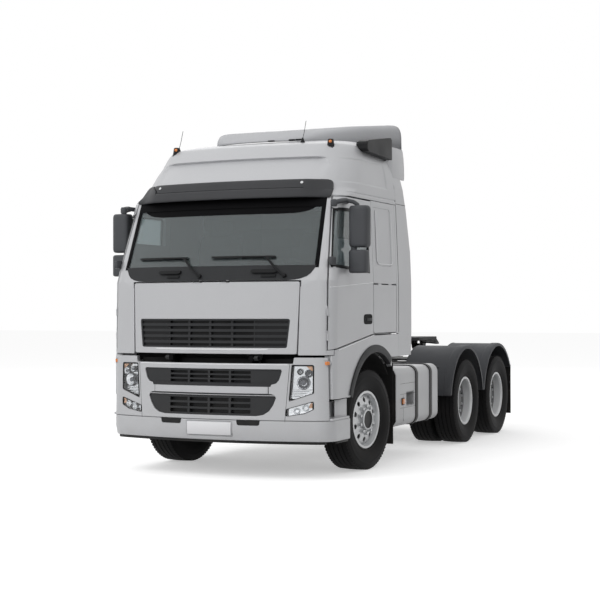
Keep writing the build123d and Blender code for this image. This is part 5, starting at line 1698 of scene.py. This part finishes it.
# studio; lamps run as name, place, size, power and whether metal and glass show them
studio = {"floor": (0.84, 0.84, 0.84), "bounce": (0.1, 0.1, 0.1), "glow": 0.42, "world": 0.64,
          "lamps": [("keyLamp", (17, -5, 12), 14, 2100, False), ("fillLamp", (7, 15, 9), 7, 150, True),
                    ("backLamp", (-15, -6, 12), 12, 300, True)], "aim": (0.5, 0, 1.2)}


def seenDirectly(tree):
    # 1 for what the camera sees, straight or in metal and glass
    path = tree.nodes.new("ShaderNodeLightPath")
    total = path.outputs["Is Camera Ray"]
    for ray in ("Is Glossy Ray", "Is Transmission Ray"):
        total = addNode(tree, "ShaderNodeMath", {0: total, 1: path.outputs[ray]}, operation="ADD",
            use_clamp=True).outputs[0]
    return total


def makeFloor(look):
    bm = bmesh.new()
    bmesh.ops.create_grid(bm, x_segments=1, y_segments=1, size=80)
    mesh = bpy.data.meshes.new("studioFloor")
    bm.to_mesh(mesh)
    bm.free()
    floor = bpy.data.objects.new("studioFloor", mesh)
    scene.collection.objects.link(floor)
    tree, shader = startMaterial("paleFloor")
    setInputs(shader, {"Roughness": 0.9, "Specular IOR Level": 0.0, "Emission Color": (1, 1, 1, 1)})
    seen = seenDirectly(tree)
    tone = addNode(tree, "ShaderNodeMix", data_type="RGBA")
    tone.inputs["A"].default_value = (*look["bounce"], 1)
    tone.inputs["B"].default_value = (*look["floor"], 1)
    tree.links.new(seen, tone.inputs["Factor"])
    tree.links.new(tone.outputs["Result"], shader.inputs["Base Color"])
    glow = addNode(tree, "ShaderNodeMath", {0: seen}, {1: look["glow"]}, operation="MULTIPLY")
    tree.links.new(glow.outputs[0], shader.inputs["Emission Strength"])
    mesh.materials.append(materials["paleFloor"])


def makeLight(look):
    world = bpy.data.worlds.new("studioWorld")
    world.use_nodes = True
    tree = world.node_tree
    light = tree.nodes["Background"]
    light.inputs["Color"].default_value = (1, 1, 1, 1)
    light.inputs["Strength"].default_value = look["world"]
    shown = tree.nodes.new("ShaderNodeBackground")
    shown.inputs["Color"].default_value = (1, 1, 1, 1)
    mix = tree.nodes.new("ShaderNodeMixShader")
    tree.links.new(seenDirectly(tree), mix.inputs[0])
    tree.links.new(light.outputs[0], mix.inputs[1])
    tree.links.new(shown.outputs[0], mix.inputs[2])
    tree.links.new(mix.outputs[0], tree.nodes["World Output"].inputs[0])
    scene.world = world
    for name, place, size, power, inGloss in look["lamps"]:
        data = bpy.data.lights.new(name, "AREA")
        data.size = size
        data.energy = power
        lamp = bpy.data.objects.new(name, data)
        lamp.location = place
        lamp.visible_glossy = inGloss
        lamp.visible_transmission = inGloss
        lamp.rotation_euler = (Vector(look["aim"]) - Vector(place)).to_track_quat("-Z", "Y").to_euler()
        scene.collection.objects.link(lamp)


makeFloor(studio)
makeLight(studio)
print("studio made")
